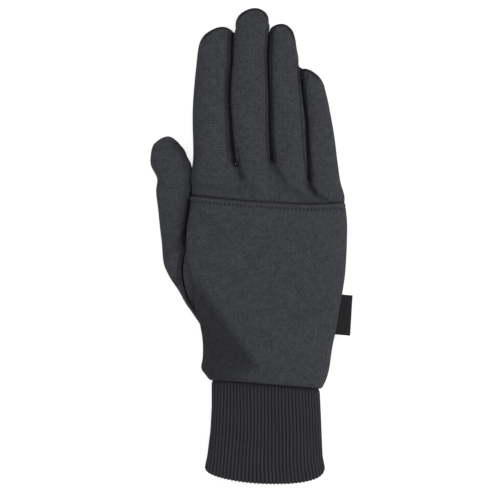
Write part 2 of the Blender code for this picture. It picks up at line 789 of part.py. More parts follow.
def cuff(look):
    count = 2 * RIB_COUNT
    outer, inner, faces = {}, {}, []
    for i, share in enumerate(CUFF_ROWS):
        hem = max(0.0, (share - CUFF_ROWS[-3]) / (1 - CUFF_ROWS[-3]))
        for n, (place, outward) in enumerate(spaced(cuff_ring(share), count)):
            peak = n % 2
            sink = (0 if peak else RIB_DEPTH) + (HEM_ROUND if share == 1 else 0)
            scallop = Vector((0, -RIB_DEPTH * hem * peak, 0))
            outer[i, n] = place - outward * sink + scallop
            inner[i, n] = place - outward * (CUFF_WALL - (HEM_ROUND if share == 1 else 0)) + scallop
    last = len(CUFF_ROWS) - 1
    for i in range(last):
        for n in range(count):
            m = (n + 1) % count
            faces.append([(i, n), (i + 1, n), (i + 1, m), (i, m)])
    return walled("cuff", faces, outer, inner, look)


# Label


def label(look):
    """A folded tab in the right-hand side seam: its inner edge follows the side of the pocket."""
    proud = LAYER_GAP + POCKET_WALL + SEAM_GAP
    bm = bmesh.new()
    rings = []
    for s in range(LABEL_STATIONS + 1):
        share = s / LABEL_STATIONS
        along = LABEL_PLACE + (0.5 - share) * LABEL_LENGTH / HAND_LENGTH
        row_share = along - CUFF_SEAM.little_side
        inner_x = hand_side(row_share, "right") + proud
        outer_x = inner_x + LABEL_REACH + LABEL_SPLAY * share
        height = hand_size("right_seam", row_share)
        y = hand_y(along)
        profile = (
            (inner_x, 0, 0.5),
            (outer_x, LABEL_DROP, 0.5),
            (outer_x + LABEL_WALL / 2, LABEL_DROP, 0),
            (outer_x, LABEL_DROP, -0.5),
            (inner_x, 0, -0.5),
        )
        rings.append([bm.verts.new((x, y, height - drop + part * LABEL_WALL)) for x, drop, part in profile])
    for a, b in zip(rings, rings[1:]):
        for n in range(len(a)):
            m = (n + 1) % len(a)
            bm.faces.new((a[n], a[m], b[m], b[n]))
    bm.faces.new(list(reversed(rings[0])))
    bm.faces.new(rings[-1])
    bmesh.ops.recalc_face_normals(bm, faces=bm.faces[:])
    return finish("label", bm, look)


def main():
    clear_scene()
    cloth = material("charcoal_fleece", CHARCOAL, CLOTH_ROUGHNESS)
    rib_knit = material("black_rib_knit", CUFF_BLACK, CLOTH_ROUGHNESS)
    tape = material("black_tape", LABEL_BLACK, LABEL_ROUGHNESS)

    points, panels = {}, {}
    panels["back_panel"] = hand_and_fingers(points, "back")
    panels["palm_panel"] = hand_and_fingers(points, "palm")
    for f, (left, right) in enumerate(zip(FINGERS, FINGERS[1:])):
        panels[f"fourchette_{left.name}_{right.name}"] = fourchette_faces(points, f)
    panels["thumb"] = thumb_faces(points)

    normals = skin_normals(points, panels)
    for name, faces in panels.items():
        panel(name, points, faces, normals, cloth)
    heat_pocket(points, normals, cloth)
    cuff(rib_knit)
    label(tape)


main()
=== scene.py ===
# %% [markdown]
# # A knitted glove liner, finished for its portrait
#
# The glove lies palm down on a pale table. Its size, its panels and its hollows come from a packed
# model, which this script never moves. Made here is what the eye reads as cloth: rounded seams, soft
# folds, ribbed knitting, stitches and a short nap.

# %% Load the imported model
import math
from collections import namedtuple
from contextlib import contextmanager
from functools import reduce

import bmesh
import bpy
import numpy as np
from mathutils import Matrix, Vector, noise
from mathutils.kdtree import KDTree


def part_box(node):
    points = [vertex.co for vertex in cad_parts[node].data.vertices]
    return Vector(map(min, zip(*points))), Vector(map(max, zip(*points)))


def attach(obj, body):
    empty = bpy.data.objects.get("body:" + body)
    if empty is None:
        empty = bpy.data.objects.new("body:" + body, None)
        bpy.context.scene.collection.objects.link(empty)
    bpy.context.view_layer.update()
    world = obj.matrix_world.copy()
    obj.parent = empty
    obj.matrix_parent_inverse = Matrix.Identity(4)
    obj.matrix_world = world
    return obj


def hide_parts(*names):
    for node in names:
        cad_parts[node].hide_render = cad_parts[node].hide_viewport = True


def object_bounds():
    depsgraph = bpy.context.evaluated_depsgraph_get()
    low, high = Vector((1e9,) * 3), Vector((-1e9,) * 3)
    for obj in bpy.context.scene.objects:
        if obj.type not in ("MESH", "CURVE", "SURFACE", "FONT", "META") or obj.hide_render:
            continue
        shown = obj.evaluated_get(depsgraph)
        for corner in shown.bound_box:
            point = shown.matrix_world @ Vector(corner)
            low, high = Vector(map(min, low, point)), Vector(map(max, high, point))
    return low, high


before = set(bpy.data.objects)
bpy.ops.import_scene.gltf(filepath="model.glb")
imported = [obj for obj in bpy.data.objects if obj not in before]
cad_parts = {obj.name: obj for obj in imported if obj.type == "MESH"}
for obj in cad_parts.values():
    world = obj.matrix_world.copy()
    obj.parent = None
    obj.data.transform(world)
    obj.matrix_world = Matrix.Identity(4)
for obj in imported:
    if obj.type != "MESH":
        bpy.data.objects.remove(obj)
cad_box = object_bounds()
MM = 0.001
print("nodes:", ", ".join(sorted(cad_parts)))
print("size in mm:", [round((b - a) / MM, 1) for a, b in zip(*cad_box)])

# %% [markdown]
# ## The photograph's frame
#
# The picture was taken from straight above with a long lens, so the table and the knuckles have
# nearly the same scale. A camera two metres up with a matching lens does the same. One helper turns
# a pixel of the picture into a place on the table, and every measured fold goes through it.

# %% Camera
PHOTO_SIDE = 500  # pixels, both ways
PIXEL = 0.56 * MM  # what one pixel covers on the glove
ORIGIN_PIXEL = (268, 260)  # where the model's origin lies in the picture
CAMERA_HEIGHT = 2.0
GLOVE_LEVEL = 10 * MM  # the height at which the framing is exact
SENSOR_WIDTH = 36.0


def at_pixel(px, py):
    """The place on the table under a pixel of the photograph."""
    return Vector(((px - ORIGIN_PIXEL[0]) * PIXEL, (ORIGIN_PIXEL[1] - py) * PIXEL, 0.0))


middle = at_pixel(PHOTO_SIDE / 2, PHOTO_SIDE / 2)
bpy.ops.object.camera_add(location=(middle.x, middle.y, CAMERA_HEIGHT), rotation=(0, 0, 0))
camera = bpy.context.object
camera.data.sensor_width = SENSOR_WIDTH
camera.data.lens = SENSOR_WIDTH * (CAMERA_HEIGHT - GLOVE_LEVEL) / (PHOTO_SIDE * PIXEL)
bpy.context.scene.camera = camera
bpy.context.scene.view_settings.view_transform = "Standard"
print("lens in mm:", round(camera.data.lens))

# %% [markdown]
# ## Table and light
#
# Dark cloth on white needs a lot of soft light, or it turns into a black shape. An even sky lights it
# from all sides, a broad panel from the right gives the folds their direction, and another overhead
# keeps the tops of the fingers even. The table is a light box that swallows most of the shadow.

# %% Table, sky and lamps
WHITE = (1.0, 1.0, 1.0, 1.0)
TABLE_PALE = (0.4, 0.4, 0.4, 1.0)
TABLE_GLOW = 0.78
TABLE_ROUGHNESS = 0.8
TABLE_DROP = 0.05 * MM
SKY_STRENGTH = 0.42


def fill(node, **values):
    """Sets inputs of a material's node by name, with _ for a space."""
    for name, value in values.items():
        node.inputs[name.replace("_", " ")].default_value = value


bpy.ops.mesh.primitive_plane_add(size=8, location=(0, 0, cad_box[0].z - TABLE_DROP))
table = bpy.context.object
table.name = "table"
paper = bpy.data.materials.new("pale_table")
paper.use_nodes = True
fill(
    paper.node_tree.nodes["Principled BSDF"],
    Base_Color=TABLE_PALE,
    Roughness=TABLE_ROUGHNESS,
    Emission_Color=WHITE,
    Emission_Strength=TABLE_GLOW,
)
table.data.materials.append(paper)

world = bpy.context.scene.world or bpy.data.worlds.new("sky")
bpy.context.scene.world = world
world.use_nodes = True
fill(world.node_tree.nodes["Background"], Color=WHITE, Strength=SKY_STRENGTH)

Lamp = namedtuple("Lamp", "name place size watts")
LAMPS = (
    Lamp("key_light", (1.00, 0.35, 1.25), 0.8, 12.2),
    Lamp("overhead_light", (-0.30, -0.10, 1.60), 1.2, 8.8),
)
for lamp in LAMPS:
    bpy.ops.object.light_add(type="AREA", location=lamp.place)
    light = bpy.context.object
    light.name = lamp.name
    light.data.size = lamp.size
    light.data.energy = lamp.watts
    light.rotation_mode = "QUATERNION"
    light.rotation_quaternion = Vector(lamp.place).to_track_quat("Z", "Y")
print("lamps:", ", ".join(lamp.name for lamp in LAMPS))

# %% [markdown]
# ## Working on one piece at a time
#
# An operator acts on whatever is selected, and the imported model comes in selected. So each step first
# selects its own piece alone. Noise comes from a fixed formula, so every run gives the same glove.

# %% Helpers for selecting, reading and writing a mesh
SEED_STEPS = (7.3, 3.1, 5.7)  # how far apart two noises lie


def only(piece):
    """Selects one object and nothing else."""
    bpy.ops.object.select_all(action="DESELECT")
    piece.select_set(True)
    bpy.context.view_layer.objects.active = piece


@contextmanager
def editing(piece):
    """Edit mode on one object, with all of it selected."""
    only(piece)
    bpy.ops.object.mode_set(mode="EDIT")
    bpy.ops.mesh.select_all(action="SELECT")
    yield
    bpy.ops.object.mode_set(mode="OBJECT")


def modified(piece, kind, **settings):
    """The piece after one modifier, which is applied at once."""
    only(piece)
    modifier = piece.modifiers.new(kind, kind)
    for name, value in settings.items():
        setattr(modifier, name, value)
    bpy.ops.object.modifier_apply(modifier=modifier.name)
    return piece


def link_mesh(mesh):
    """An object at the origin that shows this mesh."""
    piece = bpy.data.objects.new(mesh.name, mesh)
    bpy.context.scene.collection.objects.link(piece)
    return piece


def grid_piece(name, rows, closed):
    """A piece from an array of rows of points; a closed one joins up both ways."""
    count, columns = rows.shape[:2]
    faces = []
    for i in range(count if closed else count - 1):
        for j in range(columns if closed else columns - 1):
            here, below, beside = i * columns, (i + 1) % count * columns, (j + 1) % columns
            faces.append((here + j, below + j, below + beside, here + beside))
    mesh = bpy.data.meshes.new(name)
    mesh.from_pydata(rows.reshape(-1, 3).tolist(), [], faces)
    mesh.update()
    return link_mesh(mesh)


def vectors(items, name):
    flat = np.empty(len(items) * 3, np.float32)
    items.foreach_get(name, flat)
    return flat.reshape(-1, 3).astype(float)


def points_of(piece):
    return vectors(piece.data.vertices, "co")


def surface_of(piece):
    """A piece's points, and its normal at each."""
    return points_of(piece), vectors(piece.data.vertex_normals, "vector")


def set_points(piece, points):
    piece.data.vertices.foreach_set("co", np.ascontiguousarray(points, np.float32).ravel())
    piece.data.update()


def set_value(piece, name, values):
    """Stores one number for each point, for a material to read."""
    attribute = piece.data.attributes.new(name, "FLOAT", "POINT")
    attribute.data.foreach_set("value", np.ascontiguousarray(values, np.float32))


def uneven(points, wavelength, seed):
    """Smooth noise from -1 to 1 at each point, with humps about this far apart."""
    shift = Vector([seed * step for step in SEED_STEPS])
    return np.array([noise.noise(Vector(p) / wavelength + shift) for p in points])


def rise(values, start, end):
    """0 before start, 1 after end, and an even curve between."""
    share = np.clip((values - start) / (end - start), 0.0, 1.0)
    return share * share * (3 - 2 * share)


def hump(values, width):
    return np.exp(-((values / width) ** 2))


def walk(points):
    """How far each point lies along a line of points."""
    return np.concatenate([[0.0], np.cumsum(np.linalg.norm(np.diff(points, axis=0), axis=1))])


print("helpers ready")

# %% [markdown]
# ## Fleece
#
# The hand is a stretch fleece with a short brushed nap: fine fibres over faint knit columns, and from
# further off a soft charcoal with small specks. A noise for the specks, a slower one for the uneven
# nap, and a bump built from fibres and columns give both. A stored number paints shade into the
# colour in seams, creases and dents, along the gaps between the fingers and where the cloth turns from the
# light.

# %% A small kit for building materials
FLEECE_DARK = (0.0185, 0.0192, 0.0216, 1.0)
FLEECE_LIGHT = (0.0645, 0.0668, 0.0753, 1.0)
# the dark colour that painted shade mixes into the fleece
PAINTED_SHADE = (0.004, 0.004, 0.005, 1.0)
SPECULAR = 0.15
SHEEN_ROUGHNESS = 0.45


class Recipe:
    """A material that is put together node by node."""

    def __init__(self, name):
        self.material = bpy.data.materials.new(name)
        self.material.use_nodes = True
        self.tree = self.material.node_tree
        self.shader = self.tree.nodes["Principled BSDF"]

    def add(self, kind, **settings):
        made = self.tree.nodes.new(kind)
        for name, value in settings.items():
            setattr(made, name, value)
        return made

    def join(self, source, socket):
        self.tree.links.new(source, socket)

    def place(self):
        """The object's own coordinates."""
        return self.add("ShaderNodeTexCoord").outputs["Object"]

    def axes(self, place):
        made = self.add("ShaderNodeSeparateXYZ")
        self.join(place, made.inputs["Vector"])
        return made.outputs["X"], made.outputs["Y"]

    def math(self, operation, first, second=0.0):
        """Works on sockets and plain numbers alike."""
        made = self.add("ShaderNodeMath", operation=operation)
        for socket, value in zip(made.inputs, (first, second)):
            if isinstance(value, (int, float)):
                socket.default_value = value
            else:
                self.join(value, socket)
        return made.outputs[0]

    def total(self, *parts):
        """A sum of sockets, each given with its weight."""
        weighed = [self.math("MULTIPLY", socket, weight) for socket, weight in parts]
        return reduce(lambda first, second: self.math("ADD", first, second), weighed)

    def wave(self, place, pitch):
        return self.math("SINE", self.math("MULTIPLY", place, 2 * math.pi / pitch))

    def noise(self, place, scale, detail=2.0, roughness=0.5):
        made = self.add("ShaderNodeTexNoise")
        fill(made, Scale=scale, Detail=detail, Roughness=roughness)
        self.join(place, made.inputs["Vector"])
        return made.outputs["Fac"]

    def stored(self, name):
        return self.add("ShaderNodeAttribute", attribute_name=name).outputs["Fac"]

    def blend(self, share, low, high):
        """A colour between two, each a colour or a socket."""
        made = self.add("ShaderNodeMix", data_type="RGBA")
        self.join(share, made.inputs["Factor"])
        colours = [s for s in made.inputs if s.type == "RGBA"]
        for socket, value in zip(colours, (low, high)):
            if isinstance(value, tuple):
                socket.default_value = value
            else:
                self.join(value, socket)
        return next(s for s in made.outputs if s.type == "RGBA")

    def bump(self, height, distance, strength=1.0):
        made = self.add("ShaderNodeBump")
        fill(made, Strength=strength, Distance=distance)
        self.join(height, made.inputs["Height"])
        self.join(made.outputs["Normal"], self.shader.inputs["Normal"])

    def finish(self, colour, roughness, sheen=0.0):
        self.join(colour, self.shader.inputs["Base Color"])
        fill(self.shader, Roughness=roughness, Specular_IOR_Level=SPECULAR)
        fill(self.shader, Sheen_Weight=sheen, Sheen_Roughness=SHEEN_ROUGHNESS)
        return self.material


print("kit ready")

# %% Fleece
NAP_SPECK = 1200.0  # specks for each metre
NAP_PATCH = 330.0
NAP_FIBRE = 4200.0
COLUMN_PITCH = 1.1 * MM
COURSE_PITCH = 0.9 * MM
NAP_CONTRAST = 2.2
NAP_BUMP = 0.12 * MM


def make_fleece():
    recipe = Recipe("charcoal_fleece_nap")
    place = recipe.place()
    across, along = recipe.axes(place)
    specks = recipe.noise(place, NAP_SPECK, 3.0, 0.6)
    patches = recipe.noise(place, NAP_PATCH, 3.0, 0.55)
    fibres = recipe.noise(place, NAP_FIBRE, 3.0, 0.7)
    knit = recipe.total((recipe.wave(across, COLUMN_PITCH), 0.10), (recipe.wave(along, COURSE_PITCH), 0.06))
    tone = recipe.total((specks, 0.68), (patches, 0.32), (knit, 0.40))
    wide = recipe.math("ADD", recipe.math("MULTIPLY", recipe.math("SUBTRACT", tone, 0.5), NAP_CONTRAST), 0.5)
    nap = recipe.blend(wide, FLEECE_DARK, FLEECE_LIGHT)
    # painted shade: the stored number darkens the nap towards the painted shade colour
    colour = recipe.blend(recipe.stored("painted_shade"), nap, PAINTED_SHADE)
    recipe.bump(recipe.total((fibres, 0.8), (knit, 1.0)), NAP_BUMP, 0.9)
    return recipe.finish(colour, 0.95, 0.04)


fleece = make_fleece()
print("material:", fleece.name)

# %% [markdown]
# ## Panels of cloth
#
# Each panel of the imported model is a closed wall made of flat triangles. The way to a soft one is:
# keep the wall's outer skin, join its triangles into squares again, subdivide it, shape it, and give
# it its thickness back at the end. The skin is found by flooding over all edges that bend gently,
# because only at the rim does the wall turn a sharp corner.

# %% From a wall to its outer skin
MERGE = 0.02 * MM
RIM_ANGLE = math.radians(45)
SEAM_REACH = 0.17 * MM  # how far a skin grows at its edge, to meet its neighbour
SQUARES = {"face_threshold": math.radians(60), "shape_threshold": math.radians(80)}


def flood(bm):
    """Groups of faces that hang together over gently bent edges, the largest area first."""
    seen, groups = set(), []
    for start in bm.faces:
        if start in seen:
            continue
        seen.add(start)
        stack, members = [start], []
        while stack:
            face = stack.pop()
            members.append(face)
            for edge in face.edges:
                if edge.calc_face_angle(0.0) < RIM_ANGLE:
                    fresh = [f for f in edge.link_faces if f not in seen]
                    seen.update(fresh)
                    stack.extend(fresh)
        groups.append(members)
    return sorted(groups, key=lambda group: -sum(f.calc_area() for f in group))


def outer_faces(bm):
    groups = flood(bm)
    outer = {v for f in groups[0] for v in f.verts}
    inner = {v for f in groups[1] for v in f.verts}
    return [f for f in bm.faces if all(v in outer and v not in inner for v in f.verts)]


def node_copy(node, name):
    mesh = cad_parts[node].data.copy()
    mesh.name = name
    mesh.materials.clear()
    piece = link_mesh(mesh)
    with editing(piece):
        bpy.ops.mesh.remove_doubles(threshold=MERGE)
    bpy.ops.mesh.customdata_custom_splitnormals_clear()
    return piece


def outer_skin(node, name):
    """The outer skin of a node's wall, an open sheet of squares that reaches to its seams."""
    piece = node_copy(node, name)
    bm = bmesh.new()
    bm.from_mesh(piece.data)
    keep = set(outer_faces(bm))
    bmesh.ops.delete(bm, geom=[f for f in bm.faces if f not in keep], context="FACES")
    push = {}
    for edge in (e for e in bm.edges if e.is_boundary):
        loop = edge.link_loops[0]
        along = (loop.link_loop_next.vert.co - loop.vert.co).normalized()
        outward = along.cross(loop.face.normal)
        for vert in edge.verts:
            push.setdefault(vert, Vector())
            push[vert] += outward
    for vert, outward in push.items():
        vert.co += outward.normalized() * SEAM_REACH
    bm.to_mesh(piece.data)
    bm.free()
    with editing(piece):
        bpy.ops.mesh.tris_convert_to_quads(**SQUARES)
    return piece


def subdivided(piece, levels):
    return modified(piece, "SUBSURF", levels=levels, render_levels=levels)


def edge_points(piece):
    """The points along the open edge of a skin."""
    bm = bmesh.new()
    bm.from_mesh(piece.data)
    found = sorted({v.index for e in bm.edges if e.is_boundary for v in e.verts})
    bm.free()
    return found


def distance_to(points, targets):
    tree = KDTree(len(targets))
    for n, target in enumerate(targets):
        tree.insert(target, n)
    tree.balance()
    return np.array([tree.find(p)[2] for p in points])


SKINS = {"back_panel": 3, "palm_panel": 2, "thumb": 3, "heat_pocket": 3}  # how often each is subdivided
skins = {}
for node, levels in SKINS.items():
    skins[node] = subdivided(outer_skin(node, "cloth_" + node), levels)
    print(node, "points:", len(skins[node].data.vertices), "edge points:", len(edge_points(skins[node])))

# %% [markdown]
# ## Seams
#
# A sewn seam shows because both cloths turn in to it: the surface rolls down over the last
# millimetre, and stands a little prouder just before. A point's distance from its panel's edge gives
# both, and also a darker line of painted shade along the edge.

# %% Roll every edge in to its seam
ROLL_DEPTH = 0.55 * MM
ROLL_WIDTH = 0.75 * MM
PUFF_HEIGHT = 0.18 * MM
PUFF_AT = 2.2 * MM
PUFF_WIDTH = 1.3 * MM
EDGE_SHADE = 0.75
EDGE_SHADE_WIDTH = 0.55 * MM


def rolled(points, normals, far):
    lift = PUFF_HEIGHT * hump(far - PUFF_AT, PUFF_WIDTH) - ROLL_DEPTH * hump(far, ROLL_WIDTH)
    return points + normals * lift[:, None]


def darken(node, values):
    """Paints shade into a skin: at least this dark at each point, from 0 to 1."""
    shade[node] = np.maximum(shade[node], values)


far_from_edge = {}
shade = {}
for node, piece in skins.items():
    points, normals = surface_of(piece)
    far = distance_to(points, points[edge_points(piece)])
    far_from_edge[node] = far
    set_points(piece, rolled(points, normals, far))
    # painted shade: a darker line along each panel's edge
    shade[node] = EDGE_SHADE * hump(far, EDGE_SHADE_WIDTH)
print("rolled:", ", ".join(skins))

# %% [markdown]
# ## Bring the fingers together
#
# On the table the fingers touch, with a narrow black line between them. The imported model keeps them
# slightly apart, so that its solids stay clear of each other. Here the cloth of two neighbours is
# eased towards the line measured in the photograph, most at the edge. Back, palm and strips follow
# the same rule, so that they stay sewn together. Single nudges do the same for the neck of the thumb,
# the fingertips, the right rim and the corner above the cuff.

# %% Close the lines between the fingers
GapLine = namedtuple("GapLine", "name tucked shaded pixels")  # the side tucked under, and its shaded width
GAP_LINES = (
    GapLine("index_middle", -1, 2.5 * MM, (
        (233.2, 33), (232.6, 60), (230.3, 80), (229.8, 100), (231.4, 125), (232.8, 148), (236, 166))),
    GapLine("middle_ring", 1, 1.9 * MM, (
        (269.5, 27), (268, 40), (267, 60), (269, 95), (269, 130), (270, 148), (272, 163))),
    GapLine("ring_little", 1, 1.7 * MM, (
        (301.5, 70), (301, 82), (303, 100), (305.5, 120), (306.5, 145), (308, 170), (309.5, 183))),
)
GAP_REACH = 4.5 * MM
GAP_HALF = 0.02 * MM
GAP_STEP = 0.5 * MM
GAP_WINDOW = 1.3 * MM
GAP_OVERLAP = 0.4 * MM
GAP_LOOK = 5.0 * MM
GAP_LEAST = -0.5 * MM
GAP_MOST = 2.2 * MM
GAP_EVEN = 7  # steps that are averaged
GAP_START = (-2 * MM, 2 * MM)  # where a gap fades in, from its lower end
GAP_END = (0.0, 3 * MM)  # and where it fades out, from its upper end


def on_table(pixels):
    return np.array([at_pixel(*pixel)[:2] for pixel in pixels])


def gap_profile(line, edge):
    """For each y along a gap: the line's x, and how far the left and right finger have to move."""
    places = on_table(line.pixels)[::-1]  # so that y rises
    ys = np.arange(places[0, 1], places[-1, 1], GAP_STEP)
    xs = np.interp(ys, places[:, 1], places[:, 0])
    left, right = np.zeros(len(ys)), np.zeros(len(ys))
    for n, (x, y) in enumerate(zip(xs, ys)):
        near = edge[(np.abs(edge[:, 1] - y) < GAP_WINDOW) & (np.abs(edge[:, 0] - x) < GAP_LOOK)]
        across = np.sort(near[:, 0])
        if len(across) < 2:
            continue
        cut = int(np.argmax(np.diff(across)))
        left[n] = x - GAP_HALF - across[cut]
        right[n] = across[cut + 1] - x - GAP_HALF
    even = np.ones(GAP_EVEN) / GAP_EVEN
    padded = (np.pad(np.clip(side, GAP_LEAST, GAP_MOST), GAP_EVEN // 2, mode="edge") for side in (left, right))
    return ys, xs, *(np.convolve(side, even, "valid") for side in padded)


def gap_offset(points, profile):
    """Signed distance of each point from a gap's line, and how strongly the gap acts at its y."""
    ys, xs = profile[:2]
    inside = rise(points[:, 1] - ys[0], *GAP_START) * (1 - rise(points[:, 1] - ys[-1], *GAP_END))
    return points[:, 0] - np.interp(points[:, 1], ys, xs), inside


def closed_up(points):
    moved = points.copy()
    for profile in gap_profiles:
        off, inside = gap_offset(points, profile)
        pull_left = np.interp(points[:, 1], profile[0], profile[2])
        pull_right = np.interp(points[:, 1], profile[0], profile[3])
        shift = np.where(off < 0, pull_left, -pull_right) * hump(off, GAP_REACH) * inside
        room = np.abs(off) + GAP_OVERLAP
        moved[:, 0] += np.clip(shift, -room, room)
    return moved


edge = points_of(skins["back_panel"])[edge_points(skins["back_panel"])]
gap_profiles = [gap_profile(line, edge) for line in GAP_LINES]
for line, profile in zip(GAP_LINES, gap_profiles):
    print(line.name, "mean pull in mm:", round(profile[2].mean() / MM, 2), round(profile[3].mean() / MM, 2))

# %% Nudge the outline
# A pixel, how far it moves across and down, and its reach, all in pixels of the photograph.
THUMB_NUDGES = (
    (151, 179, 4.0, 0, 8.5), (153, 192, 0.2, 0, 8), (150, 163, -0.8, 0, 6), (168, 137, 1.5, -3.0, 12),
    (191, 172, 3.2, 0, 9), (192, 188, 3.4, 0, 9), (192, 196, 2.0, 0, 6), (190, 162, 2.4, 0, 6),
    (184, 151, 1.5, -0.5, 7), (165, 266, -2.4, 0, 14), (173, 281, -1.6, 0, 11), (185, 301, -1.6, 0, 12),
)
HAND_NUDGES = (
    (195, 180, -2.4, 0, 16), (194, 195, -1.4, 0, 7), (203, 369, -2.5, 0, 7), (232, 30, 1.5, 0, 6),
    (254, 8, 0, -1.5, 16), (220, 27, 0, -1.5, 14), (282, 24, 0, -1.5, 14), (306, 69, -1.5, -1.5, 12),
    (326, 98, 1.0, 0, 18), (331, 117, 1.0, 0, 18), (334, 136, 1.2, 0, 18), (337, 155, 1.2, 0, 18),
    (339, 174, 1.2, 0, 18), (267, 18, 2.0, 0, 7), (299, 61, 2.0, 0, 10), (319, 76, -0.7, 0.7, 7),
)
UNDER_POCKET_NUDGES = ((344, 197, 2.7, 0, 12),)  # for all but the pocket itself


def far_from_pixel(points, px, py):
    """Distance on the table from each point to a pixel's place."""
    return np.linalg.norm(points[:, :2] - on_table([(px, py)]), axis=1)


def nudged(points, nudges):
    moved = points.copy()
    for px, py, dx, dy, reach in nudges:
        near = hump(far_from_pixel(points, px, py), reach * PIXEL)
        moved[:, 0] += dx * PIXEL * near
        moved[:, 1] -= dy * PIXEL * near
    return moved


for node, piece in skins.items():
    points = points_of(piece)
    if node == "thumb":
        points = nudged(points, THUMB_NUDGES)
    else:
        points = nudged(closed_up(points), HAND_NUDGES)
        if node != "heat_pocket":
            points = nudged(points, UNDER_POCKET_NUDGES)
    set_points(piece, points)
print("nudges:", len(THUMB_NUDGES + HAND_NUDGES + UNDER_POCKET_NUDGES))

# %% [markdown]
# ## Seam lines on the fingers
#
# The strips between the fingers come up a little way on to the back of the hand, so a seam runs down
# each finger just inside its edge, and short ones go round the crotches; painted shade darkens each
# pressed seam. Round each fingertip a line of painted shade lies a millimetre in from the outline. One
# side of every gap also lies lower and is tucked under its neighbour, and so is the side of the thumb
# that meets the hand; painted shade darkens these tucked sides and a narrow band along each gap.

# %% Press in the seam lines, tuck one side of each gap and paint shade along them
SEAM_LINES = (
    ((229, 33), (228, 45), (227.5, 60), (226, 80), (225.5, 100), (226, 125), (227, 145), (229, 160), (236, 167)),
    ((266.5, 30), (265.3, 60), (266.3, 90), (266.8, 130), (268, 152), (272, 165)),
    ((272, 32), (271, 60), (272, 90), (272.5, 130), (273, 160)),
    ((299.5, 78), (301, 110), (304.2, 160), (308, 180)),
    ((308, 73), (305, 84), (305.5, 100), (307, 122), (308.5, 150), (312, 175)),
    ((236, 167), (239.5, 163.5), (239, 156), (236, 148)),
    ((269, 148), (268.2, 155), (269.2, 161), (271.8, 163.5), (275, 161.7), (275.8, 155), (273.5, 147)),
)
THUMB_SIDE = (
    (178, 142), (184, 149), (189, 156), (192, 163), (193, 170), (192, 190), (190, 200), (187, 215), (185.5, 230),
    (184, 246),
)
THUMB_SIDE_LEVELS = (5 * MM, 12 * MM)  # below the first height nothing sinks
THUMB_SIDE_DEPTH = 1.1 * MM
THUMB_SIDE_WIDTH = 4.2 * MM
THUMB_SIDE_SHADE = 0.55
THUMB_RIM_WIDTH = 1.3 * MM
THUMB_RIM_SHADE = 0.95
THUMB_FOLD = ((183, 252), (179, 262), (177.5, 272), (181, 285), (187, 300), (194, 313))
FINGERTIPS = ((217, 34, 15), (253, 15, 15), (282, 32, 14), (307, 76, 13), (166, 144, 15))  # with a reach
LINE_DEPTH = 0.35 * MM
LINE_WIDTH = 0.50 * MM
LINE_SHADE = 0.55
LINE_FACING = (0.0, 0.4)  # how far up the cloth has to face to take a line
TIP_EDGE = (0.2, 0.6)  # where the tips' reach ends
TIP_SEAM_AT = 1.35 * MM
TIP_LINE_AT = 0.95 * MM  # from the outline, seen from above
TIP_LINE_WIDTH = 0.55 * MM
TIP_LINE_SHADE = 0.95
OPEN_SHADE_WIDTH = 0.35 * MM  # on the side of a gap that isn't tucked
TUCK_DEPTH = 1.3 * MM
TUCK_WIDTH = 2.2 * MM


def distance_to_line(points, pixels):
    """Distance on the table from each point to a line through pixels of the photograph."""
    places = on_table(pixels)
    nearest = np.full(len(points), 1.0)
    for start, end in zip(places[:-1], places[1:]):
        run = end - start
        share = np.clip((points[:, :2] - start) @ run / (run @ run), 0.0, 1.0)
        nearest = np.minimum(nearest, np.linalg.norm(points[:, :2] - start - share[:, None] * run, axis=1))
    return nearest


def tip_weight(points):
    near = [hump(far_from_pixel(points, px, py), reach * PIXEL) for px, py, reach in FINGERTIPS]
    return rise(np.max(near, axis=0), *TIP_EDGE)


for node in ("back_panel", "thumb"):
    points, normals = surface_of(skins[node])
    facing_up = rise(normals[:, 2], *LINE_FACING)
    press = hump(far_from_edge[node] - TIP_SEAM_AT, LINE_WIDTH) * tip_weight(points)
    if node == "back_panel":
        for pixels in SEAM_LINES:
            press = np.maximum(press, hump(distance_to_line(points, pixels), LINE_WIDTH))
        for line, profile in zip(GAP_LINES, gap_profiles):
            off, inside = gap_offset(points, profile)
            points[:, 2] -= TUCK_DEPTH * hump(off, TUCK_WIDTH) * inside * (off * line.tucked > 0)
            width = np.where(off * line.tucked > 0, line.shaded, OPEN_SHADE_WIDTH)
            # painted shade: a dark band along each gap, wider on the tucked side
            darken(node, hump(off, width) * inside)
    if node == "thumb":
        press = np.maximum(press, hump(distance_to_line(points, THUMB_FOLD), LINE_WIDTH))
        from_side = distance_to_line(points, THUMB_SIDE)
        side = hump(from_side, THUMB_SIDE_WIDTH)
        points[:, 2] -= THUMB_SIDE_DEPTH * side * facing_up * rise(points[:, 2], *THUMB_SIDE_LEVELS)
        # painted shade along the thumb's side by the hand, darkest in a narrow band at its rim
        darken(node, THUMB_SIDE_SHADE * side)
        darken(node, THUMB_RIM_SHADE * hump(from_side, THUMB_RIM_WIDTH))
    points -= normals * (LINE_DEPTH * press * facing_up)[:, None]
    set_points(skins[node], points)
    # painted shade in the pressed seam lines
    darken(node, LINE_SHADE * press * facing_up)
    # painted shade: a dark line round each fingertip, a millimetre in from the outline
    flat = points * (1, 1, 0)
    inside_outline = distance_to(flat, flat[edge_points(skins[node])])
    tip_line = hump(inside_outline - TIP_LINE_AT, TIP_LINE_WIDTH) * tip_weight(points) * facing_up
    darken(node, TIP_LINE_SHADE * tip_line)
print("seam lines:", len(SEAM_LINES), "fingertips:", len(FINGERTIPS))
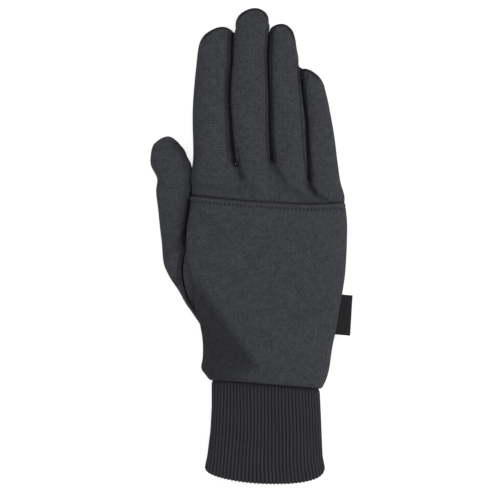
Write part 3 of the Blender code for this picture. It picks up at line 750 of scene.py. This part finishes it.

# %% [markdown]
# ## Folds and dents
#
# The empty glove has creases that run down from the finger crotches, and a few soft dents in the
# pocket. Each is a line in the photograph, from one pixel to another, with a width in millimetres on
# either side, because most folds have one steep side and one gentle one, then a depth and a painted
# shade, which makes each crease darker than its slopes alone make it.

# %% Folds, measured in the photograph
Fold = namedtuple("Fold", "x0 y0 x1 y1 before after depth shade")
FINGER_FOLDS = [Fold(*row) for row in (
    (309, 185, 315, 194, 2.2, 3.0, 2.1, 0.48), (315, 194, 329, 204, 2.4, 3.4, 1.4, 0.30),
    (237, 166, 241, 178, 3.0, 4.2, 1.7, 0.28), (241, 178, 251, 190, 3.2, 4.6, 1.2, 0.16),
    (273, 165, 286, 187, 2.6, 4.2, 1.3, 0.22), (286, 187, 308, 200, 3.0, 4.6, 1.2, 0.18),
    (196, 187, 246, 189, 2.8, 4.0, 0.9, 0.14),
)]
POCKET_FOLDS = [Fold(*row) for row in (
    (338, 292, 298, 320, 5.0, 4.0, 1.1, 0.06), (200, 213, 224, 234, 4.0, 5.0, 0.8, 0.06),
    (210, 268, 234, 277, 4.0, 4.5, 0.7, 0.06), (215, 240, 300, 236, 7.0, 9.0, 0.8, 0.02),
    (255, 372, 318, 366, 6.0, 8.0, 0.9, 0.02),
)]
THUMB_FOLDS = [Fold(*row) for row in (
    (184, 258, 173, 292, 2.4, 3.0, 1.2, 0.15), (170, 252, 186, 236, 3.4, 3.4, 1.0, 0.12),
    (160, 185, 182, 178, 4.0, 5.0, 0.6, 0.03),
)]
FOLD_FACING = (0.1, 0.6)
FOLD_END = 1.2  # how far a fold fades past its ends, in widths


def along_and_beside(points, first, last):
    """Where each point lies along and beside a line between two pixels, and the line's length."""
    start, end = at_pixel(*first), at_pixel(*last)
    run = np.array((end - start)[:2])
    length = np.linalg.norm(run)
    offset = points[:, :2] - np.array(start[:2])
    return offset @ run / length, (offset[:, 0] * run[1] - offset[:, 1] * run[0]) / length, length


def fold_shape(points, fold):
    """How deep in a fold each point lies, from 0 outside to 1 on its line, seen from above."""
    along, beside, length = along_and_beside(points, fold[:2], fold[2:4])
    width = np.where(beside < 0, fold.before, fold.after) * MM
    past = np.maximum(0.0, np.maximum(-along, along - length))
    return rise(1 - np.abs(beside) / width, 0.0, 1.0) * hump(past, FOLD_END * min(fold.before, fold.after) * MM)


FOLDED = {"back_panel": FINGER_FOLDS + POCKET_FOLDS, "heat_pocket": POCKET_FOLDS, "thumb": THUMB_FOLDS}
for node, folds in FOLDED.items():
    points, normals = surface_of(skins[node])
    facing_up = rise(normals[:, 2], *FOLD_FACING)
    deep = np.zeros(len(points))
    for fold in folds:
        inside = fold_shape(points, fold) * facing_up
        deep = np.maximum(deep, fold.depth * MM * inside)
        # painted shade in each crease
        darken(node, fold.shade * inside)
    points[:, 2] -= deep
    set_points(skins[node], points)
print("folds:", {node: len(folds) for node, folds in FOLDED.items()})

# %% [markdown]
# ## The fallen side
#
# Beside the heel of the thumb the cloth falls away from a slanting ridge to the left edge, and that
# whole corner turns from the light, and painted shade darkens it further. All layers sink together,
# each by the same share of its height, so that none passes through another.

# %% Let the corner below the thumb sink
RIDGE = ((203, 286), (259, 363))
SINK_SHARE = 0.42
SINK_REACH = 20 * MM
SINK_SOFT = 2.5 * MM
SINK_SHADE = 0.44
SINK_START = (-12 * MM, 6 * MM)  # along the ridge, from its first end
SINK_END = (-6 * MM, 9 * MM)  # and from its last
SINK_ABOVE_SEAM = (1 * MM, 14 * MM)
TURNED = (-1.5 * MM, 4 * MM)  # beside the ridge
SEAM_LEFT = at_pixel(211, 379).y
SINK_NODES = ("back_panel", "heat_pocket", "palm_panel")


def fallen(points):
    """How far down the fallen side each point lies, 0 to 1, and how much it turns from the light."""
    along, beside, length = along_and_beside(points, *RIDGE)
    ends = rise(along, *SINK_START) * (1 - rise(along - length, *SINK_END))
    ramp = (np.sqrt(np.maximum(beside, 0.0) ** 2 + SINK_SOFT**2) - SINK_SOFT) / SINK_REACH
    above_cuff = rise(points[:, 1] - SEAM_LEFT, *SINK_ABOVE_SEAM)
    return np.clip(ramp, 0.0, 1.0) * ends * above_cuff, rise(beside, *TURNED) * ends


for node in SINK_NODES:
    points = points_of(skins[node])
    down, turned = fallen(points)
    points[:, 2] *= 1 - SINK_SHARE * down
    set_points(skins[node], points)
    # painted shade over the corner that turns from the light
    darken(node, SINK_SHADE * turned)
print("ridge in mm:", round((at_pixel(*RIDGE[1]) - at_pixel(*RIDGE[0])).length / MM))

# %% [markdown]
# ## Unevenness
#
# No cloth is perfectly smooth. Three scales of noise move the surface along its own normal. They come
# from a point's place, so the pocket and the back under it don't cut through each other.

# %% Let the cloth lie unevenly
Wave = namedtuple("Wave", "length height seed")
WAVES = (Wave(24 * MM, 0.55 * MM, 1), Wave(8 * MM, 0.16 * MM, 2), Wave(3 * MM, 0.04 * MM, 3))
WAVE_TALL = 0.35  # heights count less, so that stacked layers move alike
STILL_EDGE = 3 * MM


def uneven_lift(points):
    flat = points * (1, 1, WAVE_TALL)
    return sum(wave.height * uneven(flat, wave.length, wave.seed) for wave in WAVES)


for node, piece in skins.items():
    points, normals = surface_of(piece)
    keep = rise(far_from_edge[node], 0.0, STILL_EDGE)
    set_points(piece, points + normals * (uneven_lift(points) * keep)[:, None])
print("waves:", len(WAVES))

# %% [markdown]
# ## The pocket's hem
#
# The pocket opens towards the fingers. Its edge is turned under and held by stitches three
# millimetres below, so there is a raised band, then a thin furrow with a pit at each stitch. Distance
# to the mouth gives the band, and distance along it gives the pits. Painted shade darkens the pits,
# and a painted shadow lies along the mouth's edge on the back beneath.

# %% Raise the hem and press in the stitch row
HEM_WIDTH = 3.0 * MM
HEM_RAISE = 0.45 * MM
HEM_EDGE = (-0.6 * MM, 0.4 * MM)
FURROW_DEPTH = 0.35 * MM
FURROW_WIDTH = 0.55 * MM
FURROW_EVEN, FURROW_PITS = 0.5, 0.8  # shares of its depth between the stitches, and more at each
PIT_SHADE = 0.7
MOUTH_DROP = 0.8 * MM
MOUTH_SHADE = 0.97
MOUTH_SHADE_WIDTH = 1.1 * MM
STITCH_PITCH = 2.2 * MM
STITCH_LOOK = 1 * MM  # on either side, for the row's direction
MOUTH_NEAR = 2.5 * MM
MOUTH_PART = 0.985
MOUTH_START = at_pixel(192, 195)
MOUTH_END = at_pixel(344, 202.5)


def mouth_points(piece):
    """The points of the pocket's edge that lie along its mouth, in order from the thumb's side."""
    points = points_of(piece)
    edge = points[edge_points(piece)]
    line = np.array((MOUTH_END - MOUTH_START)[:2])
    share = (edge[:, :2] - np.array(MOUTH_START[:2])) @ line / (line @ line)
    level = MOUTH_START.y + share * (MOUTH_END.y - MOUTH_START.y)
    near = (np.abs(edge[:, 1] - level) < MOUTH_NEAR) & (share > 0.0) & (share < MOUTH_PART)
    mouth = edge[near]
    return mouth[np.argsort(mouth[:, 0])]


pocket = skins["heat_pocket"]
mouth = mouth_points(pocket)
points, normals = surface_of(pocket)
below = distance_to(points, mouth)
points[:, 1] -= MOUTH_DROP * (1 - rise(below, 0.0, HEM_WIDTH))
mouth[:, 1] -= MOUTH_DROP
below = distance_to(points, mouth)
walked = walk(mouth)
along = np.interp(points[:, 0], mouth[:, 0], walked)
pits = 0.5 + 0.5 * np.cos(2 * math.pi * along / STITCH_PITCH)
furrow = hump(below - HEM_WIDTH, FURROW_WIDTH)
lift = HEM_RAISE * (1 - rise(below - HEM_WIDTH, *HEM_EDGE))
lift -= FURROW_DEPTH * (FURROW_EVEN + FURROW_PITS * pits) * furrow
set_points(pocket, points + normals * lift[:, None])
# painted shade in the stitch pits
darken("heat_pocket", PIT_SHADE * pits * furrow)
# painted shadow on the back along the pocket's mouth
under = points_of(skins["back_panel"])
to_mouth = distance_to(under * (1, 1, 0), mouth * (1, 1, 0))
darken("back_panel", MOUTH_SHADE * hump(to_mouth, MOUTH_SHADE_WIDTH))


def stitch_spots():
    """Each stitch's place on the cloth, the cloth's normal there and the row's direction."""
    spots = []
    for n in range(1, int(walked[-1] / STITCH_PITCH)):
        run = n * STITCH_PITCH
        start, end = (
            Vector([np.interp(at, walked, mouth[:, k]) for k in range(3)])
            for at in (run - STITCH_LOOK, run + STITCH_LOOK)
        )
        direction = (end - start).normalized()
        down = Vector((direction.y, -direction.x, 0)).normalized()
        _, spot, normal, _ = pocket.closest_point_on_mesh((start + end) / 2 + down * HEM_WIDTH)
        spots.append((spot, normal, direction))
    return spots


row_of_stitches = stitch_spots()
print("mouth in mm:", round(walked[-1] / MM), "stitches:", round(walked[-1] / STITCH_PITCH))

# %% [markdown]
# ## Give the skins their thickness
#
# Solidify with its offset at -1 keeps the shaped surface and grows the wall inwards. The floor is
# hard, so what the shaping pushed below it is lifted back first.

# %% Rest on the table, solidify and dress
CLOTH_WALL = 1.4 * MM


def rested(points):
    moved = points.copy()
    moved[:, 2] = np.maximum(moved[:, 2], cad_box[0].z)
    return moved


def dressed(piece, material, slot, *nodes):
    piece.data.materials.clear()
    piece.data.materials.append(material)
    only(piece)
    bpy.ops.object.shade_smooth()
    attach(piece, "root")
    if nodes:
        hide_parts(*nodes)
    one_side = sum(face.area for face in piece.data.polygons) / 2
    print(piece.name, "faces:", len(piece.data.polygons), "one side in mm2:", round(one_side / MM**2))


for node, piece in skins.items():
    set_points(piece, rested(points_of(piece)))
    # the painted shade gathered on this skin, stored for the fleece to read
    set_value(piece, "painted_shade", np.clip(shade[node], 0.0, 1.0))
    modified(piece, "SOLIDIFY", thickness=CLOTH_WALL, offset=-1.0)
    dressed(piece, fleece, "fleece", node)

# %% [markdown]
# ## Strips between the fingers
#
# The strips are narrow and bend sharply round each crotch, so they stay closed walls. Creased rims
# keep their edges crisp while the rest is subdivided. Near its gap each strip is darkened with
# painted shade.

# %% Fourchettes
STRIP_CREASE = 0.45
CREASE_ANGLE = math.radians(50)
STRIP_LEVELS = 3
STRIP_WIDTH = 4.0 * MM
STRIP_TUCK = 1.1 * MM  # how far its free ends are drawn into their fingers
STRIP_TUCK_AT = (-3 * MM, 1 * MM)  # from the gap's upper end
STRIP_TUCK_REACH = 9 * MM
strips = [node for node in sorted(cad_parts) if node.startswith("fourchette")]
for node in strips:
    strip = node_copy(node, "cloth_" + node)
    with editing(strip):
        bpy.ops.mesh.tris_convert_to_quads(**SQUARES)
        bpy.ops.mesh.select_all(action="DESELECT")
        bpy.ops.mesh.edges_select_sharp(sharpness=CREASE_ANGLE)
        bpy.ops.transform.edge_crease(value=STRIP_CREASE)
    subdivided(strip, STRIP_LEVELS)
    points = closed_up(points_of(strip))
    for profile in gap_profiles:
        off = gap_offset(points, profile)[0]
        past_top = rise(points[:, 1] - profile[0][-1], *STRIP_TUCK_AT)
        points[:, 0] += STRIP_TUCK * np.sign(off) * past_top * hump(off, STRIP_TUCK_REACH)
    # painted shade: each strip is dark near its gap
    between = [hump(off, STRIP_WIDTH) * inside for off, inside in (gap_offset(points, p) for p in gap_profiles)]
    set_value(strip, "painted_shade", np.max(between, axis=0))
    set_points(strip, rested(points))
    dressed(strip, fleece, "fleece", node)

# %% [markdown]
# ## Ribbed cuff
#
# A rib knit stands in rounded ridges with narrow valleys, here 72 round the wrist. The cuff is knitted
# double, so it is one sheet that goes down outside, turns round the hem and comes back up inside. It
# is laid as rings of points: each ring is a flattened oval whose size comes from a short table, its
# columns are spaced evenly round it, and the ribs are pressed in afterwards.

# %% The cuff's oval rings
CUFF_ROWS = (  # a share of the length, and there the left, right and top as shares of the box
    (0.00, 0.893, 0.902, 0.990),
    (0.30, 0.893, 0.924, 1.000),
    (0.55, 0.913, 0.938, 1.000),
    (0.80, 0.958, 0.955, 0.985),
    (1.00, 1.000, 0.995, 0.955),
)
RIBS = 72
RIB_POINTS = 10
FINE_STEPS = 1440
TOP_ROUND = 2.3
UNDER_ROUND = 2.8
HEM_LINE_ROUND = 2.2
HEM_LINE_SKEW = 1.33  # above 1 the lowest place lies right of the middle
SEAM_SHARE = 0.45  # height of the widest place, as a share of the cuff's height
FLOOR_SINK = 1.0 * MM
CUFF_WALL = 2.6 * MM
cuff_low, cuff_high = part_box("cuff")
SEAM_RIGHT = at_pixel(322, 388).y
HEM_SIDE = at_pixel(204, 472).y


def power(values, exponent):
    return np.sign(values) * np.abs(values) ** exponent


def cuff_ring(along):
    """Fine points round the cuff at a share of its length, from its left side over the top."""
    stations, *sizes = np.transpose(CUFF_ROWS)
    left, right, crown = (np.interp(along, stations, size) for size in sizes)
    left, right, crown = left * cuff_low.x, right * cuff_high.x, crown * cuff_high.z
    angle = 2 * np.pi * np.arange(FINE_STEPS) / FINE_STEPS - np.pi / 2
    over = np.cos(angle) >= 0
    roundness = np.where(over, TOP_ROUND, UNDER_ROUND)
    across = (1 + power(np.sin(angle), 2 / roundness)) / 2
    height = power(np.cos(angle), 2 / roundness)
    seam = SEAM_SHARE * cuff_high.z
    z = np.where(over, seam + (crown - seam) * height, np.maximum(0.0, seam + (seam + FLOOR_SINK) * height))
    x = left + (right - left) * across
    top = SEAM_LEFT + (SEAM_RIGHT - SEAM_LEFT) * across
    bow = (1 - np.abs(2 * across**HEM_LINE_SKEW - 1) ** HEM_LINE_ROUND) ** (1 / HEM_LINE_ROUND)
    hem = HEM_SIDE + (cuff_low.y - HEM_SIDE) * bow
    return np.stack([x, top + (hem - top) * along, z], axis=1)


def even_columns(ring, count):
    """Evenly spaced places round a ring, each with its outward direction across Y."""
    closed = np.vstack([ring, ring[:1]])
    walked = walk(closed)
    wanted = walked[-1] * np.arange(count) / count
    places = np.stack([np.interp(wanted, walked, closed[:, k]) for k in range(3)], axis=1)
    tangent = np.roll(places, -1, axis=0) - np.roll(places, 1, axis=0)
    outward = np.stack([-tangent[:, 2], np.zeros(count), tangent[:, 0]], axis=1)
    return places, outward / np.linalg.norm(outward, axis=1)[:, None]


print("cuff seam to hem in mm:", round((SEAM_LEFT - HEM_SIDE) / MM, 1))

# %% Lay the cuff's sheet: down outside, round the hem, up inside
OUTER_ROWS = 60
TURN_ROWS = 8
INNER_ROWS = 24
INNER_RIB = -0.6  # inside, the ribs stand the other way and less high
RIB_DEPTH = 0.85 * MM
RIB_WANDER = 0.30  # sideways, in ribs
RIB_MEAN, RIB_SPREAD = 0.9, 0.35  # of the full depth
SEAM_RIB = 0.55  # how high the ribs are at the hand's seam
SEAM_RIB_REACH = 0.06  # these three reaches are shares of the cuff's length
SEAM_TUCK = 0.7 * MM
SEAM_TUCK_REACH = 0.03
SEAM_SHADOW = 0.7  # how dark the ribs are just below that seam
SEAM_SHADOW_REACH = 0.06
HEM_LIFT = 2.6 * MM
HEM_LIFT_AT = (0.8, 1.0)
HEM_SCALLOP = 0.5 * MM  # how far each rib stands out at the hem
Lay = namedtuple("Lay", "along depth drop rib")


def cuff_lays():
    """Rows of the sheet: share of the length, depth in the wall, drop past the hem and rib strength."""
    lays = [Lay(n / OUTER_ROWS, 0.0, 0.0, 1.0) for n in range(OUTER_ROWS + 1)]
    for n in range(1, TURN_ROWS):
        angle = math.pi * n / TURN_ROWS
        depth = CUFF_WALL * (1 - math.cos(angle)) / 2
        lays.append(Lay(1.0, depth, CUFF_WALL / 2 * math.sin(angle), math.cos(angle)))
    lays += [Lay(1 - n / INNER_ROWS, CUFF_WALL, 0.0, INNER_RIB) for n in range(INNER_ROWS + 1)]
    return lays


def rib_noise(across, along, layer):
    return np.array([noise.noise(Vector((a, along, layer))) for a in across])


def rib_wobble(phase, along):
    """A slow sideways wander of each rib."""
    return RIB_WANDER * rib_noise(phase * 0.13, along * 2.1, 4.0)


def rib_strength(phase, along):
    """Ribs aren't all equally high: a share of the full depth for each rib and place."""
    return RIB_MEAN + RIB_SPREAD * rib_noise(np.round(phase) * 3.7, along * 5.0, 9.0)


def cuff_rows():
    count = RIBS * RIB_POINTS
    phase = np.arange(count) / RIB_POINTS
    rows, painted_rib_shade = [], []
    for lay in cuff_lays():
        places, outward = even_columns(cuff_ring(lay.along), count)
        ridge = np.abs(np.cos(np.pi * (phase + rib_wobble(phase, lay.along))))
        full = SEAM_RIB + (1 - SEAM_RIB) * min(1.0, lay.along / SEAM_RIB_REACH)
        sink = lay.depth + lay.rib * RIB_DEPTH * full * rib_strength(phase, lay.along) * (1 - ridge)
        if lay.rib > 0:
            sink += SEAM_TUCK * hump(lay.along, SEAM_TUCK_REACH)
        row = places - outward * sink[:, None]
        row[:, 1] += HEM_LIFT * rise(lay.along, *HEM_LIFT_AT) - lay.drop
        row[:, 1] -= HEM_SCALLOP * ridge * lay.drop / (CUFF_WALL / 2)
        rows.append(row)
        # painted shade in the valleys between ribs, and a painted shadow below the hand's seam
        painted_rib_shade.append(np.maximum(1 - ridge, SEAM_SHADOW * hump(lay.along, SEAM_SHADOW_REACH)))
    return np.array(rows), np.array(painted_rib_shade)


def knit_map(piece, rows):
    """Gives a closed sheet a map of ribs across and millimetres along."""
    count, columns = rows.shape[:2]
    run = walk(rows[:, 0]) / MM
    uv = []
    for i in range(count):
        ends = (run[i], run[i + 1] if i + 1 < count else run[i] + CUFF_WALL / MM)
        for j in range(columns):
            left, right = j / RIB_POINTS, (j + 1) / RIB_POINTS
            uv += [left, ends[0], left, ends[1], right, ends[1], right, ends[0]]
    piece.data.uv_layers.new(name="knit").data.foreach_set("uv", np.array(uv, np.float32))


rows, painted_rib_shade = cuff_rows()
cuff = grid_piece("cloth_cuff", rows, closed=True)
set_value(cuff, "valley", painted_rib_shade.ravel())
knit_map(cuff, rows)
set_points(cuff, rested(points_of(cuff)))
print("rings:", len(rows), "points in each:", len(rows[0]))

# %% [markdown]
# ## Rib knit
#
# Each rib is a column of small knitted Vs, and the valley between two ribs is nearly black from
# painted shade. The Vs are a bump on the sheet's own map, which follows the ribs, and the stored
# valley number paints shade into the furrows and a painted shadow just below the hand's seam.

# %% Rib knit material
RIB_LIGHT = (0.0445, 0.046, 0.054, 1.0)
RIB_DARK = (0.0225, 0.0232, 0.028, 1.0)
RIB_VALLEY_SHADE = (0.0055, 0.0058, 0.0070, 1.0)
LOOP_PITCH = 1.25  # millimetres along the rib
LOOP_SLANT = 1.6
YARN_SPECK = 1700.0
YARN_FIBRE = 4800.0
YARN_BUMP = 0.10 * MM
VALLEY_POWER = 1.6


def make_rib_knit():
    recipe = Recipe("black_rib_knit_yarn")
    place = recipe.place()
    across, along = recipe.axes(recipe.add("ShaderNodeUVMap", uv_map="knit").outputs["UV"])
    half = recipe.math("ABSOLUTE", recipe.math("SUBTRACT", recipe.math("FRACT", across), 0.5))
    loops = recipe.wave(recipe.total((along, 1 / LOOP_PITCH), (half, LOOP_SLANT)), 1.0)
    specks = recipe.noise(place, YARN_SPECK, 3.0, 0.6)
    fibres = recipe.noise(place, YARN_FIBRE, 2.0, 0.6)
    tone = recipe.math("SUBTRACT", recipe.total((specks, 1.7), (loops, 0.16)), 0.35)
    yarn = recipe.blend(tone, RIB_DARK, RIB_LIGHT)
    # painted shade towards the valleys
    valley = recipe.math("POWER", recipe.stored("valley"), VALLEY_POWER)
    colour = recipe.blend(valley, yarn, RIB_VALLEY_SHADE)
    recipe.bump(recipe.total((loops, 0.5), (fibres, 1.0)), YARN_BUMP, 0.9)
    return recipe.finish(colour, 0.9, 0.03)


dressed(cuff, make_rib_knit(), "rib_knit", "cuff")

# %% [markdown]
# ## Side tab
#
# A short piece of bare black tape, folded double and caught in the side seam: one strip that goes out
# along the top, turns round the fold and comes back beneath.

# %% Fold the tab
tab_low, tab_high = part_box("label")
TAB_CORNERS = (at_pixel(342.0, 294.3), at_pixel(352.6, 295.4), at_pixel(350.2, 335.8), at_pixel(334.9, 334.3))
TAB_LAYER = 0.35 * MM
TAB_GAP = 0.21 * MM
TAB_HIDDEN = 1.0 * MM  # how far it reaches into the seam
TAB_HANG = 0.55  # of the height it may fall
TAB_SWAY = 0.25 * MM
TAB_EDGE = 0.08 * MM
TAB_STATIONS = 16
TAB_STEPS = 10


def tab_rings():
    """Rows of points down the tab, each from the seam over the fold and back."""
    rows = []
    level, drop = tab_high.z - TAB_LAYER, tab_high.z - tab_low.z
    for n in range(TAB_STATIONS + 1):
        share = n / TAB_STATIONS
        inner = TAB_CORNERS[0].lerp(TAB_CORNERS[3], share)
        outer = TAB_CORNERS[1].lerp(TAB_CORNERS[2], share)
        inner.x -= TAB_HIDDEN
        sway = TAB_SWAY * math.sin(5.0 * share + 0.4)
        row = []
        for k in range(2 * TAB_STEPS + 1):
            out = 1 - abs(k - TAB_STEPS) / TAB_STEPS
            side = 1 if k < TAB_STEPS else -1 if k > TAB_STEPS else 0
            place = inner.lerp(outer, math.sin(out * math.pi / 2))
            thick = side * (TAB_GAP + TAB_LAYER / 2) * min(1.0, 4 * (1 - out))
            row.append((place.x, place.y, level - TAB_HANG * drop * out * out + thick + sway * out))
        rows.append(row)
    return np.array(rows)


tab = grid_piece("cloth_label", tab_rings(), closed=False)
with editing(tab):
    bpy.ops.mesh.normals_make_consistent(inside=False)
modified(tab, "SOLIDIFY", thickness=TAB_LAYER, offset=-1.0)
modified(tab, "BEVEL", width=TAB_EDGE)
print("tab faces:", len(tab.data.polygons))

# %% Tape material
TAPE_DARK = (0.006, 0.006, 0.007, 1.0)
TAPE_LIGHT = (0.016, 0.016, 0.018, 1.0)
TAPE_PICK = 0.45 * MM
TAPE_END = 0.315 * MM
TAPE_SPECK = 1500.0
TAPE_BUMP = 0.05 * MM


def make_tape():
    recipe = Recipe("black_woven_tape")
    place = recipe.place()
    across, along = recipe.axes(place)
    weave = recipe.math("MULTIPLY", recipe.wave(along, TAPE_PICK), recipe.wave(across, TAPE_END))
    tone = recipe.total((weave, 0.25), (recipe.noise(place, TAPE_SPECK), 1.0))
    colour = recipe.blend(tone, TAPE_DARK, TAPE_LIGHT)
    recipe.bump(weave, TAPE_BUMP, 0.8)
    return recipe.finish(colour, 0.5)


dressed(tab, make_tape(), "tape", "label")

# %% [markdown]
# ## Stitches
#
# Each stitch along the hem is a short black thread, sunk in its pit, with its two ends pulled down
# into the cloth. One is shaped from a small sphere, and copies of it are laid along the row.

# %% Sew the pocket's hem
THREAD_BLACK = (0.004, 0.004, 0.005, 1.0)
STITCH_LENGTH = 1.3 * MM
THREAD_WIDTH = 0.75 * MM
THREAD_THICKNESS = 0.40 * MM
STITCH_DIVE = 0.15 * MM  # how far the ends of a stitch pull into the cloth
STITCH_TAPER = (1.0, 0.7, 0.9)
STITCH_RAISE = 0.04 * MM
THREAD_TWIST = 5000.0
THREAD_BUMP = 0.04 * MM


def make_thread():
    recipe = Recipe("black_thread")
    twist = recipe.noise(recipe.place(), THREAD_TWIST)
    colour = recipe.blend(twist, THREAD_BLACK, TAPE_DARK)
    recipe.bump(twist, THREAD_BUMP, 0.8)
    return recipe.finish(colour, 0.7)


bpy.ops.mesh.primitive_uv_sphere_add(segments=10, ring_count=6, radius=0.5, location=(0, 0, 0))
stitch = bpy.context.object
bpy.ops.transform.resize(value=(STITCH_LENGTH, THREAD_WIDTH, THREAD_THICKNESS))
bpy.ops.object.transform_apply(location=False, rotation=False, scale=True)
for vert in stitch.data.vertices:
    vert.select = abs(vert.co.x) > STITCH_LENGTH / 4
bpy.ops.object.mode_set(mode="EDIT")
bpy.ops.transform.resize(value=STITCH_TAPER, orient_type="GLOBAL", center_override=(0, 0, 0))
bpy.ops.transform.translate(value=(0, 0, -STITCH_DIVE))
bpy.ops.object.mode_set(mode="OBJECT")
stitches = []
for spot, normal, direction in row_of_stitches:
    copy = link_mesh(stitch.data.copy())
    turn = direction.to_track_quat("X", "Z").to_matrix().to_4x4()
    copy.data.transform(Matrix.Translation(spot + normal * STITCH_RAISE) @ turn)
    stitches.append(copy)
bpy.data.objects.remove(stitch)
only(stitches[0])
for copy in stitches:
    copy.select_set(True)
bpy.ops.object.join()
sewing = bpy.context.object
sewing.name = sewing.data.name = "pocket_stitches"
dressed(sewing, make_thread(), "tape")
print("stitches:", len(stitches))

# %% [markdown]
# ## Flat sizes
#
# Every piece of the glove was cut flat. These are the cuts' sizes from edge to edge, with the area of
# cloth in each, because none is a rectangle. The strips and the tab are given folded out.

# %% Say what each sheet was cut from
Cut = namedtuple("Cut", "piece width length area held rests_on extras")
